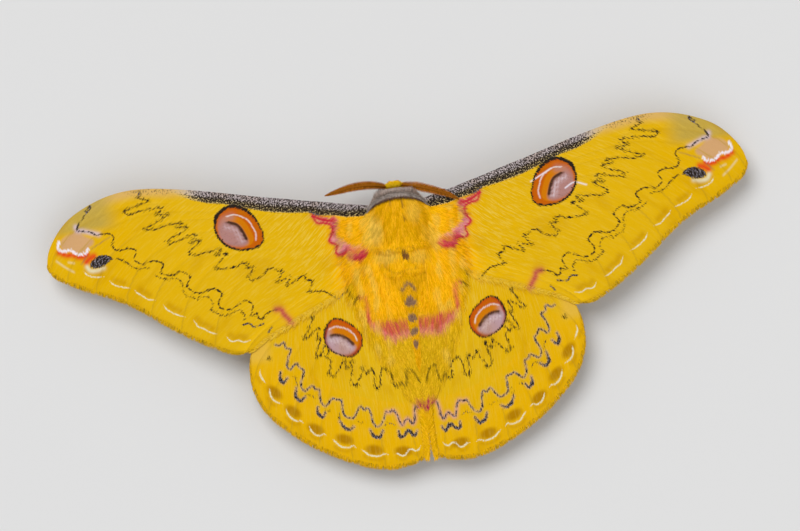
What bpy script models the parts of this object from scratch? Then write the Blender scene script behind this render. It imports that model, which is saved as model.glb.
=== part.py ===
"""Golden emperor moth at rest with its wings spread flat, life size, as closed faceted solids.

The moth's own frame has +Y towards the head, +X to its right and the floor at height 0. Lengths
are in millimetres until a mesh is made. An empty then moves the whole moth so that the middle
of its base is at the world's origin.
"""

import math
import random

import bmesh
import bpy
import numpy as np
from mathutils import Matrix, Vector

MM = 0.001
GAP = 0.3          # clearance between neighbouring solids
WINGSPAN = 96.0    # tip to tip; every size below is drawn for this span

# Body, from the front: place along the body, half width, half height, height of the centre
BODY = [
    (5.65, 2.60, 1.70, 6.30),
    (5.20, 3.50, 2.40, 6.20),
    (4.60, 4.00, 3.00, 6.00),
    (3.00, 4.15, 3.45, 5.80),
    (0.00, 4.10, 3.60, 5.60),
    (-3.00, 3.60, 3.30, 5.40),
    (-4.90, 3.00, 2.80, 5.10),
    (-8.00, 2.45, 2.35, 4.45),
    (-12.0, 2.00, 1.95, 3.85),
    (-16.0, 1.40, 1.40, 3.30),
    (-18.5, 0.70, 0.75, 3.00),
    (-19.2, 0.25, 0.30, 2.95),
]
COLLAR_SPAN = (5.65, 4.55)
THORAX_SPAN = (4.25, -4.60)
ABDOMEN_SPAN = (-4.90, -19.2)
ABDOMEN_SEGMENTS = 8
SEGMENT_STEP = 0.12      # how far each segment's rear edge stands over the next
FRONT_BEND = 0.047       # how fast the collar's sides sweep back, per mm squared
FRONT_TILT = 0.35        # how far the collar's top leans forward, per mm of height
BODY_SIDES = 20

# The coat: flat tapered locks that lie back over a core. The core keeps half the coat's depth
# under the outline above, and the locks fill the rest
COAT_SEED = 5
CORE_DEPTH = 0.45
LOCK_TAPER = (0.8, 1.0, 0.75, 0.12)      # width at the sunk root, then along to the tip
LOCK_LIFT = (-0.35, 0.0, 0.25, 0.15)     # height over the outline at the same places
LOCK_RUN = (-0.12, 0.2, 0.65, 1.0)       # share of the lock's length at the same places
LOCK_HALF_THICK = 0.17
LOCK_SPREAD = 0.12                       # how far locks turn away from the midline, radians
LOCK_UNEVEN = 0.15                       # how much their lengths vary
THORAX_LOCKS = {"rows": 4, "front": 3.7, "rear": -1.7, "length": 3.2, "end": -4.5,
                "across": (7, 7), "low_angle": 36, "half_width": 0.75}
ABDOMEN_LOCKS = {"rows": 4, "front": -5.4, "rear": -14.5, "length": 4.1, "end": -18.9,
                 "across": (5, 3), "low_angle": 38, "half_width": 0.62}
SHOULDER_PLACES = (2.6, 1.1, -0.4, -1.9)        # tufts that lie out over the wing bases
SHOULDER_REACH = 1.9
SHOULDER_HEIGHT = 7.75
SHOULDER_HALF_WIDTH = 0.5
CROWN_TUFTS = (-0.34, 0.0, 0.34)                # tufts on the head between the feelers
FACE_TUFTS = (-0.45, 0.0, 0.45)
HIND_TUFTS = [(3.9, -5.6), (5.0, -6.4), (3.5, -9.4), (4.7, -10.2), (3.0, -13.0), (4.1, -13.8)]
HIND_TUFT_LENGTH = 5.0
HIND_TUFT_DRIFT = 0.8                           # how far their tips turn in
HIND_TUFT_HALF_WIDTH = 0.5

HEAD_CENTRE = (0.0, 6.45, 4.30)
HEAD_RADII = (1.65, 0.95, 1.75)
HEAD_SIDES = 14
EYE_CENTRE = (1.45, 6.30, 4.15)
EYE_RADIUS = 0.88
EYE_SIDES = 14
PALP_PATH = [(0.45, 7.15, 3.70), (0.50, 7.55, 3.05), (0.55, 7.60, 2.30)]
PALP_RADII = [0.38, 0.36, 0.20]

# Wing outlines for the right side, seen from above
FORE_COSTA = [(10.0, 6.15), (18.0, 8.20), (25.0, 10.07), (31.0, 11.35), (35.0, 11.85),
              (39.0, 11.40), (43.0, 9.80), (46.3, 7.07), (47.8, 4.05), (48.0, 2.94)]
FORE_MARGIN = [(48.0, 2.94), (46.5, 0.90), (43.5, -0.84), (39.0, -3.05), (35.0, -5.87),
               (31.0, -8.95), (27.0, -11.5), (24.0, -12.64), (21.8, -12.3)]
FORE_INNER = [(7.0, -5.0), (10.0, -6.9), (13.5, -8.3), (19.0, -10.6), (21.8, -12.3)]
FORE_ROOT_SPAN = (4.75, -1.20)
HIND_COSTA = [(9.0, -2.2), (14.0, -4.4), (18.5, -7.8), (21.3, -10.6), (22.4, -13.2)]
HIND_MARGIN = [(22.4, -13.2), (22.95, -16.2), (22.6, -19.0), (21.3, -21.8), (18.9, -24.4),
               (16.0, -26.8), (12.0, -29.2), (8.0, -30.9), (5.2, -31.4), (2.2, -31.0), (0.2, -30.2)]
HIND_ROOT_SPAN = (-0.90, -4.70)
HIND_INNER_PLACES = (-8.0, -12.0, -16.0, -18.5)
CLEFT = [(0.45, -21.0), (0.2, -24.0), (0.2, -30.2)]
LEFT_SWEEP = math.radians(1.1)    # the left forewing is held a little further back
LEFT_REACH = 0.2

# Heights of the wings
ROOT_HEIGHT = 6.7
TIP_DROP = 2.6
REAR_DROP = 2.2
HALF_SPAN = WINGSPAN / 2
WING_LENGTH_BEHIND = 31.4
HINDWING_BELOW = 1.25

# Wing thickness
MEMBRANE = 0.5
VEIN = 0.9
COSTAL_EDGE = 0.9
VEIN_HALF_WIDTH = 0.35
VEIN_CROWD = 0.32        # most of the space to the next vein that half a vein may take
LEAST_COLUMN_GAP = 0.1
VEIN_FADE = 0.08         # share of the wing's length in which a branch rises to full height
CELL_END = 0.45          # where the veins fan out from the closed cell, root 0 to margin 1

# Veins as shares of the way from the front edge to the rear edge, at the root, at the end of the
# closed cell and at the margin, then where each one branches off
FORE_VEINS = [
    (0.12, 0.10, 0.03, 0.55),
    (0.20, 0.16, 0.115, 0.0),
    (0.28, 0.22, 0.25, 0.42),
    (0.40, 0.32, 0.39, 0.47),
    (0.52, 0.42, 0.51, 0.44),
    (0.61, 0.49, 0.66, 0.0),
    (0.70, 0.60, 0.82, 0.22),
    (0.87, 0.88, 0.95, 0.0),
]
FORE_ROWS = 15
HIND_VEINS = [
    (0.12, 0.12, 0.134, 0.0),
    (0.26, 0.27, 0.265, 0.36),
    (0.38, 0.38, 0.385, 0.42),
    (0.50, 0.50, 0.52, 0.38),
    (0.60, 0.60, 0.67, 0.0),
    (0.72, 0.73, 0.81, 0.20),
    (0.88, 0.88, 0.95, 0.0),
]
HIND_ROWS = 13

# Feelers, from the base out. The left one reaches out ahead of its wing, the right one lies over it
ANTENNA_RIGHT = [(0.80, 6.85, 5.30), (1.20, 6.85, 6.00), (2.00, 6.65, 6.75), (3.10, 6.35, 7.35),
                 (4.10, 5.98, 7.60), (5.10, 5.60, 7.75), (7.00, 4.75, 7.75), (8.50, 3.80, 7.60)]
ANTENNA_LEFT = [(-0.80, 6.85, 5.30), (-1.20, 6.95, 5.85), (-2.00, 7.15, 6.30), (-3.50, 7.40, 6.55),
                (-5.50, 7.42, 6.60), (-7.50, 7.15, 6.50), (-9.50, 6.80, 6.25)]
STALK_RADII = [0.27, 0.26, 0.24, 0.22, 0.18, 0.10]
STALK_POINTS = 14
COMB_TEETH = 12
COMB_SPAN = (0.14, 0.94)     # where along the feeler its teeth stand
TOOTH_REACH = 0.66           # from the stalk's middle to a tooth's tip, at the widest
TOOTH_RADII = (0.17, 0.06)
TOOTH_LEAN = 0.5             # how far the teeth lean towards the tip
TOOTH_SIDES = 4
TOOTH_ROOT = 0.05            # how far off the stalk's middle a tooth starts
TOOTH_STAGGER = 0.07         # how far one side's teeth stand ahead of the other's

# Legs: each joint's place (from the body outwards) and radius there
LEG_RADII = [0.75, 0.70, 0.50, 0.45, 0.32, 0.28, 0.24]
LEGS = {
    "foreleg": [(1.5, 3.0, 3.6), (3.1, 3.7, 3.4), (4.7, 4.1, 3.1), (5.9, 3.9, 1.5), (6.4, 4.1, 0.34),
                (6.6, 4.9, 0.24), (6.7, 5.6, 0.22)],
    "midleg": [(1.8, 0.0, 3.4), (4.2, -0.4, 3.5), (6.4, -0.9, 3.3), (8.2, -1.6, 1.6), (9.3, -2.0, 0.34),
               (10.4, -2.5, 0.24), (11.5, -3.0, 0.22)],
    "hindleg": [(1.8, -2.4, 3.4), (4.0, -4.4, 3.4), (5.8, -6.4, 3.1), (7.0, -8.6, 1.5), (7.8, -10.0, 0.34),
                (8.5, -11.3, 0.24), (9.2, -12.6, 0.22)],
}
LEG_POINTS = 12

# Colours from the photo, linear red, green and blue, then roughness
COLOURS = {
    "wing": (0.76, 0.42, 0.01, 0.75),
    "fur": (0.85, 0.48, 0.02, 0.95),
    "collar": (0.27, 0.23, 0.24, 0.90),
    "feeler": (0.30, 0.10, 0.01, 0.70),
    "eye": (0.02, 0.015, 0.01, 0.25),
    "leg": (0.35, 0.14, 0.07, 0.85),
}


def smooth_values(at, places, values):
    """A smooth curve through values given at rising places, read at other places."""
    places = np.asarray(places, float)
    values = np.asarray(values, float)
    slopes = np.gradient(values, places, axis=0)
    at = np.clip(np.atleast_1d(np.asarray(at, float)), places[0], places[-1])
    k = np.clip(np.searchsorted(places, at) - 1, 0, len(places) - 2)
    width = places[k + 1] - places[k]
    p = ((at - places[k]) / width)[:, None]
    width = width[:, None]
    rise = values[k + 1] - values[k]
    return (values[k] + p * width * slopes[k]
            + p ** 2 * (3 * rise - width * (2 * slopes[k] + slopes[k + 1]))
            + p ** 3 * (width * (slopes[k] + slopes[k + 1]) - 2 * rise))


def curve_points(points, shares):
    """Points on a smooth curve through the given ones, at shares of its length."""
    points = np.asarray(points, float)
    steps = np.linalg.norm(np.diff(points, axis=0), axis=1)
    knots = np.concatenate([[0.0], np.cumsum(steps)])
    dense = smooth_values(np.linspace(0, knots[-1], 24 * len(points)), knots, points)
    run = np.concatenate([[0.0], np.cumsum(np.linalg.norm(np.diff(dense, axis=0), axis=1))])
    at = np.asarray(shares, float) * run[-1]
    return np.stack([np.interp(at, run, dense[:, k]) for k in range(dense.shape[1])], axis=-1)


def smooth_step(x):
    x = min(max(x, 0.0), 1.0)
    return x * x * (3 - 2 * x)


BODY_TABLE = np.array(BODY[::-1])


def body_size(s):
    """Half width, half height and centre height at place s along the body."""
    return smooth_values(s, BODY_TABLE[:, 0], BODY_TABLE[:, 1:])[0]


def front_share(s):
    """How much of the collar's bend and tilt the body has at place s."""
    return smooth_step(s / 4.5)


def body_point(s, angle, grow=0.0):
    """A point on the body's skin; angle 0 is its right side and a quarter turn is the top."""
    half_width, half_height, centre = body_size(s)
    x = (half_width + grow) * math.cos(angle)
    rise = (half_height + grow) * math.sin(angle)
    y = s + front_share(s) * (FRONT_TILT * rise - FRONT_BEND * x * x)
    return Vector((x, y, centre + rise))


def body_side(y, height):
    """The body's half width at a place seen from above and a height."""
    s = y
    x = 0.0
    for _ in range(6):
        half_width, half_height, centre = body_size(s)
        rise = height - centre
        x = half_width * math.sqrt(max(0.0, 1 - (rise / half_height) ** 2))
        s = y - front_share(s) * (FRONT_TILT * rise - FRONT_BEND * x * x)
    return x


def wing_height(x, y):
    """Height of the forewing's middle surface; the hindwing keeps below it."""
    behind = max(0.0, -y) / WING_LENGTH_BEHIND
    return ROOT_HEIGHT - TIP_DROP * (x / HALF_SPAN) ** 2 - REAR_DROP * behind ** 1.5


def material(name, colour):
    """A Principled material in one of the moth's colours."""
    shader = bpy.data.materials.new(name)
    shader.use_nodes = True
    principled = shader.node_tree.nodes["Principled BSDF"]
    red, green, blue, roughness = COLOURS[colour]
    principled.inputs["Base Color"].default_value = (red, green, blue, 1.0)
    principled.inputs["Roughness"].default_value = roughness
    principled.inputs["Metallic"].default_value = 0.0
    return shader


def finish_mesh(name, bm, colour, collection):
    """Turn a bmesh in millimetres into an object in metres."""
    bmesh.ops.recalc_face_normals(bm, faces=bm.faces)
    bmesh.ops.scale(bm, vec=(MM, MM, MM), verts=bm.verts)
    mesh = bpy.data.meshes.new(name)
    bm.to_mesh(mesh)
    bm.free()
    mesh.shade_smooth()
    mesh.set_sharp_from_angle(angle=math.radians(50))
    thing = bpy.data.objects.new(name, mesh)
    collection.objects.link(thing)
    if colour:
        mesh.materials.append(material(name, colour))
    return thing


def cutter(thing):
    thing.hide_render = True
    thing.display_type = "WIRE"
    return thing


def fuse(thing, pieces):
    """Join a collection of closed pieces to an object, and remove them."""
    boolean = thing.modifiers.new("fuse", "BOOLEAN")
    boolean.operation = "UNION"
    boolean.solver = "EXACT"
    boolean.operand_type = "COLLECTION"
    boolean.collection = pieces
    settle(thing)
    for piece in list(pieces.objects):
        bpy.data.meshes.remove(piece.data)
    bpy.data.collections.remove(pieces)


def settle(thing):
    """Apply an object's modifiers and keep only its largest closed surface."""
    bpy.context.view_layer.update()
    shape = thing.evaluated_get(bpy.context.evaluated_depsgraph_get())
    mesh = bpy.data.meshes.new_from_object(shape)
    thing.modifiers.clear()
    old = thing.data
    thing.data = mesh
    bpy.data.meshes.remove(old)
    mesh.name = thing.name
    bm = bmesh.new()
    bm.from_mesh(mesh)
    surfaces = []
    left = set(bm.verts)
    while left:
        front = [left.pop()]
        surface = set(front)
        while front:
            for edge in front.pop().link_edges:
                for vert in edge.verts:
                    if vert in left:
                        left.remove(vert)
                        surface.add(vert)
                        front.append(vert)
        surfaces.append(surface)
    surfaces.sort(key=len)
    for surface in surfaces[:-1]:
        bmesh.ops.delete(bm, geom=list(surface), context="VERTS")
    bm.to_mesh(mesh)
    bm.free()


def new_pieces(name):
    """A collection for the small pieces that a node is fused from."""
    pieces = bpy.data.collections.new(name)
    bpy.context.scene.collection.children.link(pieces)
    return pieces


def cut(thing, *tools):
    """Take the cutters' space out of a piece."""
    for tool in tools:
        boolean = thing.modifiers.new("cut_" + tool.name, "BOOLEAN")
        boolean.operation = "DIFFERENCE"
        boolean.solver = "EXACT"
        boolean.object = tool


def loft(rings):
    """A closed bmesh through rings of points, with a fan on each end."""
    bm = bmesh.new()
    rows = [[bm.verts.new(point) for point in ring] for ring in rings]
    count = len(rows[0])
    for near, far in zip(rows, rows[1:]):
        for k in range(count):
            after = (k + 1) % count
            bm.faces.new((near[k], near[after], far[after], far[k]))
    for row in (rows[0], rows[-1]):
        middle = bm.verts.new(sum((v.co for v in row), Vector()) / count)
        for k in range(count):
            bm.faces.new((row[k], row[(k + 1) % count], middle))
    bmesh.ops.triangulate(bm, faces=bm.faces)
    return bm


def body_ring(s, grow=0.0):
    return [body_point(s, 2 * math.pi * k / BODY_SIDES, grow) for k in range(BODY_SIDES)]


def body_length(name, places, colour, collection, grow=0.0, steps=None):
    """One length of the body; steps may add a little to the skin ring by ring."""
    steps = steps or [0.0] * len(places)
    rings = [body_ring(s, grow + step) for s, step in zip(places, steps)]
    return finish_mesh(name, loft(rings), colour, collection)


def add_lock(pieces, path, ups, half_width):
    """One flat lock along a path of four points; ups are the ways its flat side faces."""
    rings = []
    for k, (place, up) in enumerate(zip(path, ups)):
        ahead = path[min(k + 1, len(path) - 1)] - path[max(k - 1, 0)]
        across = ahead.cross(up).normalized()
        over = across.cross(ahead).normalized() * LOCK_HALF_THICK * math.sqrt(LOCK_TAPER[k])
        across *= half_width * LOCK_TAPER[k]
        rings.append([place + across, place + over, place - across, place - over])
    finish_mesh("lock", loft(rings), None, pieces)


def coat_length(pieces, coat, draw):
    """Rows of locks over the top of one length of the body, each row set between those ahead."""
    first, last = coat["across"]
    for row, s in enumerate(np.linspace(coat["front"], coat["rear"], coat["rows"])):
        count = round(first + (last - first) * row / (coat["rows"] - 1))
        spread = 180 - 2 * coat["low_angle"]
        for k in range(count):
            share = (k + (0.25 if row % 2 else 0.75)) / count
            angle = math.radians(coat["low_angle"] + spread * share)
            turn = -LOCK_SPREAD * math.cos(angle)
            length = coat["length"] * (1 + draw.uniform(-LOCK_UNEVEN, LOCK_UNEVEN))
            path = []
            ups = []
            for run, lift in zip(LOCK_RUN, LOCK_LIFT):
                at = max(s - run * length, coat["end"])
                way = angle + turn * run
                path.append(body_point(at, way, lift - (CORE_DEPTH if run < 0 else 0.0)))
                ups.append(Vector((math.cos(way), 0.0, math.sin(way))))
            add_lock(pieces, path, ups, coat["half_width"])


def shoulder_tufts(pieces):
    """Tufts that run from the thorax's sides out and back over the wing bases."""
    for side in (1, -1):
        for s in SHOULDER_PLACES:
            root = body_point(s, math.radians(60), -CORE_DEPTH - 0.3)
            rise = body_point(s - 0.5, math.radians(46), 0.15)
            wall = body_side(s, ROOT_HEIGHT)
            beyond = Vector((wall + 0.3 * SHOULDER_REACH, s - 1.7, SHOULDER_HEIGHT + 0.1))
            tip = Vector((wall + SHOULDER_REACH, s - 3.4, SHOULDER_HEIGHT))
            path = [Vector((side * place.x, place.y, place.z)) for place in (root, rise, beyond, tip)]
            ups = [Vector((side * lean, 0.0, 1.0)) for lean in (0.8, 0.6, 0.2, 0.0)]
            add_lock(pieces, path, ups, SHOULDER_HALF_WIDTH)


def make_body(collection, cutters):
    draw = random.Random(COAT_SEED)
    body_length("collar", np.linspace(*COLLAR_SPAN, 4), "collar", collection)
    thorax = body_length("thorax", np.linspace(*THORAX_SPAN, 10), "fur", collection, -CORE_DEPTH)
    pieces = new_pieces("thorax_locks")
    coat_length(pieces, THORAX_LOCKS, draw)
    shoulder_tufts(pieces)
    fuse(thorax, pieces)
    front, rear = ABDOMEN_SPAN
    length = (front - rear) / ABDOMEN_SEGMENTS
    places = []
    steps = []
    for k in range(ABDOMEN_SEGMENTS):
        places += [front - k * length, front - (k + 0.85) * length]
        steps += [0.0, SEGMENT_STEP * (1 - k / ABDOMEN_SEGMENTS)]
    places.append(rear)
    steps.append(0.0)
    abdomen = body_length("abdomen", places, "fur", collection, -0.5 * CORE_DEPTH, steps)
    pieces = new_pieces("abdomen_locks")
    coat_length(pieces, ABDOMEN_LOCKS, draw)
    fuse(abdomen, pieces)
    grown = np.linspace(COLLAR_SPAN[0] + GAP, THORAX_SPAN[1] - GAP, 14)
    return cutter(body_length("body_clearance", grown, None, cutters, grow=GAP))


def ball(name, centre, radii, segments, colour, collection):
    """A sphere with its own radius along each axis."""
    bm = bmesh.new()
    place = Matrix.Translation(centre) @ Matrix.Diagonal((*radii, 1.0))
    bmesh.ops.create_uvsphere(bm, u_segments=segments, v_segments=segments * 2 // 3, radius=1.0,
                              matrix=place)
    bmesh.ops.triangulate(bm, faces=bm.faces)
    return finish_mesh(name, bm, colour, collection)


def tube(name, points, radii, colour, collection, shares=LEG_POINTS):
    """A tapered round limb along a smooth path, as a mesh with welded caps."""
    at = np.linspace(0, 1, shares)
    path = curve_points(points, at)
    thick = np.interp(at, np.linspace(0, 1, len(radii)), radii)
    curve = bpy.data.curves.new(name, "CURVE")
    curve.dimensions = "3D"
    curve.bevel_depth = MM
    curve.bevel_resolution = 2
    curve.use_fill_caps = True
    spline = curve.splines.new("POLY")
    spline.points.add(shares - 1)
    for point, place, radius in zip(spline.points, path, thick):
        point.co = (*(MM * place), 1.0)
        point.radius = radius
    guide = bpy.data.objects.new(name + "_path", curve)
    collection.objects.link(guide)
    shape = guide.evaluated_get(bpy.context.evaluated_depsgraph_get())
    mesh = bpy.data.meshes.new_from_object(shape)
    mesh.name = name
    bpy.data.objects.remove(guide)
    bm = bmesh.new()
    bm.from_mesh(mesh)
    bpy.data.meshes.remove(mesh)
    bmesh.ops.remove_doubles(bm, verts=bm.verts, dist=0.00001)
    bmesh.ops.triangulate(bm, faces=bm.faces)
    bmesh.ops.scale(bm, vec=(1 / MM, 1 / MM, 1 / MM), verts=bm.verts)
    return finish_mesh(name, bm, colour, collection)


def mirrored(points, side):
    return [(side * x, y, z) for x, y, z in points]


def head_tufts(pieces):
    """The tuft between the feelers and the short fringe down the face."""
    x0, y0, z0 = HEAD_CENTRE
    front = y0 + HEAD_RADII[1]
    top = z0 + HEAD_RADII[2]
    up = Vector((0.0, -0.5, 1.0))
    for x in CROWN_TUFTS:
        path = [Vector((x, y0 + 0.1, top - 0.7)), Vector((x, y0 + 0.4, top - 0.1)),
                Vector((1.1 * x, front - 0.2, top + 0.3)), Vector((1.2 * x, front + 0.05, top + 0.35))]
        add_lock(pieces, path, [up] * 4, 0.24)
    for x in FACE_TUFTS:
        path = [Vector((x, front - 0.6, z0 + 0.9)), Vector((x, front - 0.1, z0 + 0.7)),
                Vector((x, front + 0.15, z0 + 0.1)), Vector((x, front + 0.1, z0 - 0.5))]
        add_lock(pieces, path, [Vector((0.0, 1.0, 0.3))] * 4, 0.26)


def make_head(collection, cutters, clearance):
    head = ball("head", HEAD_CENTRE, HEAD_RADII, HEAD_SIDES, "fur", collection)
    pieces = new_pieces("head_locks")
    head_tufts(pieces)
    fuse(head, pieces)
    cut(head, clearance)
    grown = [radius + GAP for radius in HEAD_RADII]
    head_clearance = cutter(ball("head_clearance", HEAD_CENTRE, grown, HEAD_SIDES, None, cutters))
    for side, word in ((1, "right"), (-1, "left")):
        centre = mirrored([EYE_CENTRE], side)[0]
        eye = ball("eye_" + word, centre, [EYE_RADIUS] * 3, EYE_SIDES, "eye", collection)
        socket = cutter(ball("socket_" + word, centre, [EYE_RADIUS + GAP] * 3, EYE_SIDES, None, cutters))
        cut(head, socket)
        cut(eye, clearance)
        settle(eye)
        palp = tube("palp_" + word, mirrored(PALP_PATH, side), PALP_RADII, "leg", collection, 6)
        cut(palp, head_clearance)
        settle(palp)
    settle(head)
    return head_clearance


def make_antenna(name, path, collection, tools):
    """A feeler: a stalk out to its tip with a row of comb teeth on each side."""
    stalk = tube(name, path, STALK_RADII, "feeler", collection, STALK_POINTS)
    pieces = new_pieces(name + "_teeth")
    shares = np.linspace(*COMB_SPAN, COMB_TEETH)
    step = 0.01
    for share, place, ahead in zip(shares, curve_points(path, shares), curve_points(path, shares + step)):
        along = Vector(ahead - place).normalized()
        across = along.cross(Vector((0, 0, 1))).normalized()
        reach = TOOTH_REACH * (0.45 + 0.55 * math.sin(math.pi * share ** 0.8))
        for side in (1, -1):
            way = (across * side + along * TOOTH_LEAN).normalized()
            turn = way.to_track_quat("Z", "Y").to_matrix().to_4x4()
            middle = Vector(place) + way * (reach / 2 + TOOTH_ROOT) + along * TOOTH_STAGGER * side
            bm = bmesh.new()
            bmesh.ops.create_cone(bm, cap_ends=True, segments=TOOTH_SIDES, radius1=TOOTH_RADII[0],
                                  radius2=TOOTH_RADII[1], depth=reach,
                                  matrix=Matrix.Translation(middle) @ turn)
            finish_mesh("tooth", bm, None, pieces)
    fuse(stalk, pieces)
    cut(stalk, *tools)
    settle(stalk)


def make_legs(collection, cutters, clearance):
    bm = bmesh.new()
    place = Matrix.Translation((0, 0, -5)) @ Matrix.Diagonal((60, 60, 10, 1))
    bmesh.ops.create_cube(bm, size=1.0, matrix=place)
    floor = cutter(finish_mesh("floor_clearance", bm, None, cutters))
    for kind, path in LEGS.items():
        for side, word in ((1, "right"), (-1, "left")):
            leg = tube(f"{kind}_{word}", mirrored(path, side), LEG_RADII, "leg", collection)
            cut(leg, clearance, floor)
            settle(leg)


def swept(point):
    """Where the left forewing holds an outline point of the right one, still drawn for the right."""
    x, y = point
    turn = LEFT_SWEEP * smooth_step((x - 5) / 12)
    reach = LEFT_REACH * smooth_step((x - 5) / 12)
    return (4 + (x - 4) * math.cos(turn) + (y - 4) * math.sin(turn) + reach,
            4 - (x - 4) * math.sin(turn) + (y - 4) * math.cos(turn))


def root_line(span, below):
    """Where a wing meets the body, front to rear, clear of the body's side."""
    places = np.linspace(*span, 5)
    return [(body_side(y, ROOT_HEIGHT - below) + GAP, y) for y in places]


def fore_edges(side):
    root = root_line(FORE_ROOT_SPAN, 0.0)
    move = swept if side < 0 else (lambda point: point)
    costa = [root[0]] + [move(point) for point in FORE_COSTA]
    inner = [root[-1]] + [move(point) for point in FORE_INNER]
    margin = [move(point) for point in FORE_MARGIN]
    return costa, inner, root, margin


def hind_edges():
    root = root_line(HIND_ROOT_SPAN, HINDWING_BELOW)
    beside = []
    for y in HIND_INNER_PLACES:
        underside = wing_height(0.0, y) - HINDWING_BELOW - VEIN / 2 - GAP
        beside.append((max(body_side(y, underside), CLEFT[0][0]) + GAP, y))
    return [root[0]] + HIND_COSTA, [root[-1]] + beside + CLEFT, root, HIND_MARGIN


def vein_columns(veins, s, span):
    """Where the columns of a wing's grid lie across it at place s, and how raised each one is."""
    at = [smooth_values(s, (0.0, CELL_END, 1.0), [[v[0]], [v[1]], [v[2]]])[0, 0] for v in veins]
    marks = [0.0] + at + [1.0]
    columns = [(0.0, 1.0 if s < 0.9 else 0.5), (0.45 / span, 0.0)]
    for k, vein in enumerate(veins):
        room = min(at[k] - marks[k], marks[k + 2] - at[k]) * VEIN_CROWD
        half = min(VEIN_HALF_WIDTH / span, room)
        raised = min(max((s - vein[3]) / VEIN_FADE, 0.0), 1.0) if vein[3] else 1.0
        columns += [(at[k] - half, 0.0), (at[k], raised), (at[k] + half, 0.0)]
        if k + 1 < len(veins):
            columns.append(((at[k] + at[k + 1]) / 2, 0.0))
    columns.append((1.0, 0.0))
    least = LEAST_COLUMN_GAP / span
    for k in range(1, len(columns)):
        columns[k] = (max(columns[k][0], columns[k - 1][0] + least), columns[k][1])
    return columns


def make_wing(name, edges, veins, rows, below, side, collection):
    """A wing as a patch between its four edges, with veins raised on both faces."""
    costa, inner, root, margin = edges
    shares = np.linspace(0, 1, rows)
    front = curve_points(costa, shares)
    rear = curve_points(inner, shares)
    spans = np.linalg.norm(front - rear, axis=1)
    grid = [vein_columns(veins, s, span) for s, span in zip(shares, spans)]
    columns = len(grid[0])
    bm = bmesh.new()
    bmesh.ops.create_grid(bm, x_segments=columns - 1, y_segments=rows - 1, size=1.0)
    bm.verts.ensure_lookup_table()
    thick = [0.0] * len(bm.verts)
    corners = [np.array(costa[0]), np.array(costa[-1]), np.array(inner[0]), np.array(inner[-1])]
    for vert in bm.verts:
        k = round((vert.co.x + 1) / 2 * (columns - 1))
        row = round((vert.co.y + 1) / 2 * (rows - 1))
        s = shares[row]
        t, raised = grid[row][k]
        t = min(t, 1.0)
        near = curve_points(root, [t])[0]
        far = curve_points(margin, [t])[0]
        flat = (1 - t) * front[row] + t * rear[row] + (1 - s) * near + s * far
        flat -= (1 - s) * (1 - t) * corners[0] + s * (1 - t) * corners[1]
        flat -= (1 - s) * t * corners[2] + s * t * corners[3]
        x, y = flat
        vert.co = (side * x, y, wing_height(x, y) - below)
        top = COSTAL_EDGE if k == 0 else VEIN
        thick[vert.index] = MEMBRANE + (top - MEMBRANE) * raised
    bmesh.ops.triangulate(bm, faces=bm.faces, quad_method="SHORT_EDGE")
    wing = finish_mesh(name, bm, "wing", collection)
    group = wing.vertex_groups.new(name="thickness")
    for index, value in enumerate(thick):
        group.add([index], value, "REPLACE")
    solid = wing.modifiers.new("thickness", "SOLIDIFY")
    solid.thickness = MM
    solid.offset = 0.0
    solid.vertex_group = group.name
    solid.thickness_vertex_group = 0.0
    solid.use_even_offset = False
    return wing


def hind_tufts(pieces, side):
    """Long hair that runs back along the hindwing's inner part, beside the abdomen."""
    runs = (-0.15, 0.25, 0.65, 1.0)
    lifts = (-0.1, 0.35, 0.55, 0.5)
    for x, y in HIND_TUFTS:
        path = []
        for run, lift in zip(runs, lifts):
            at = y - run * HIND_TUFT_LENGTH
            height = wing_height(x, at) - HINDWING_BELOW + lift
            path.append(Vector((side * (x - HIND_TUFT_DRIFT * run), at, height)))
        add_lock(pieces, path, [Vector((0.0, 0.0, 1.0))] * 4, HIND_TUFT_HALF_WIDTH)


def make_wings(collection):
    for side, word in ((1, "right"), (-1, "left")):
        make_wing(f"forewing_{word}", fore_edges(side), FORE_VEINS, FORE_ROWS, 0.0, side, collection)
        hindwing = make_wing(f"hindwing_{word}", hind_edges(), HIND_VEINS, HIND_ROWS, HINDWING_BELOW, side,
                             collection)
        pieces = new_pieces("hindwing_locks")
        hind_tufts(pieces, side)
        fuse(hindwing, pieces)


def stand_on_origin(collection, cutters):
    """Parent every piece and cutter to an empty that puts the middle of the moth's base at the origin."""
    bpy.context.view_layer.update()
    depsgraph = bpy.context.evaluated_depsgraph_get()
    corners = []
    for thing in collection.objects:
        mesh = thing.evaluated_get(depsgraph).to_mesh()
        places = np.empty(3 * len(mesh.vertices))
        mesh.vertices.foreach_get("co", places)
        places = places.reshape(-1, 3)
        corners += [places.min(axis=0), places.max(axis=0)]
    low = np.min(corners, axis=0)
    high = np.max(corners, axis=0)
    middle = (low + high) / 2
    base = bpy.data.objects.new("moth_base", None)
    base.location = (-middle[0], -middle[1], -low[2])
    pieces = list(collection.objects) + list(cutters.objects)
    collection.objects.link(base)
    for thing in pieces:
        thing.parent = base


def main():
    for thing in list(bpy.data.objects):
        bpy.data.objects.remove(thing)
    moth = bpy.data.collections.new("golden_emperor_moth")
    cutters = bpy.data.collections.new("cutters")
    bpy.context.scene.collection.children.link(moth)
    bpy.context.scene.collection.children.link(cutters)
    clearance = make_body(moth, cutters)
    head_clearance = make_head(moth, cutters, clearance)
    make_antenna("antenna_right", ANTENNA_RIGHT, moth, (head_clearance, clearance))
    make_antenna("antenna_left", ANTENNA_LEFT, moth, (head_clearance, clearance))
    make_legs(moth, cutters, clearance)
    make_wings(moth)
    stand_on_origin(moth, cutters)


main()
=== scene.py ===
"""Golden emperor moth: finely marked wings, coat, feelers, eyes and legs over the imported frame.

The moth's own frame has +Y towards the head, +X to its right and the floor at height 0, in
millimetres, as in the part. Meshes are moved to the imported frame's origin and to metres when made.
"""

import math

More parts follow.
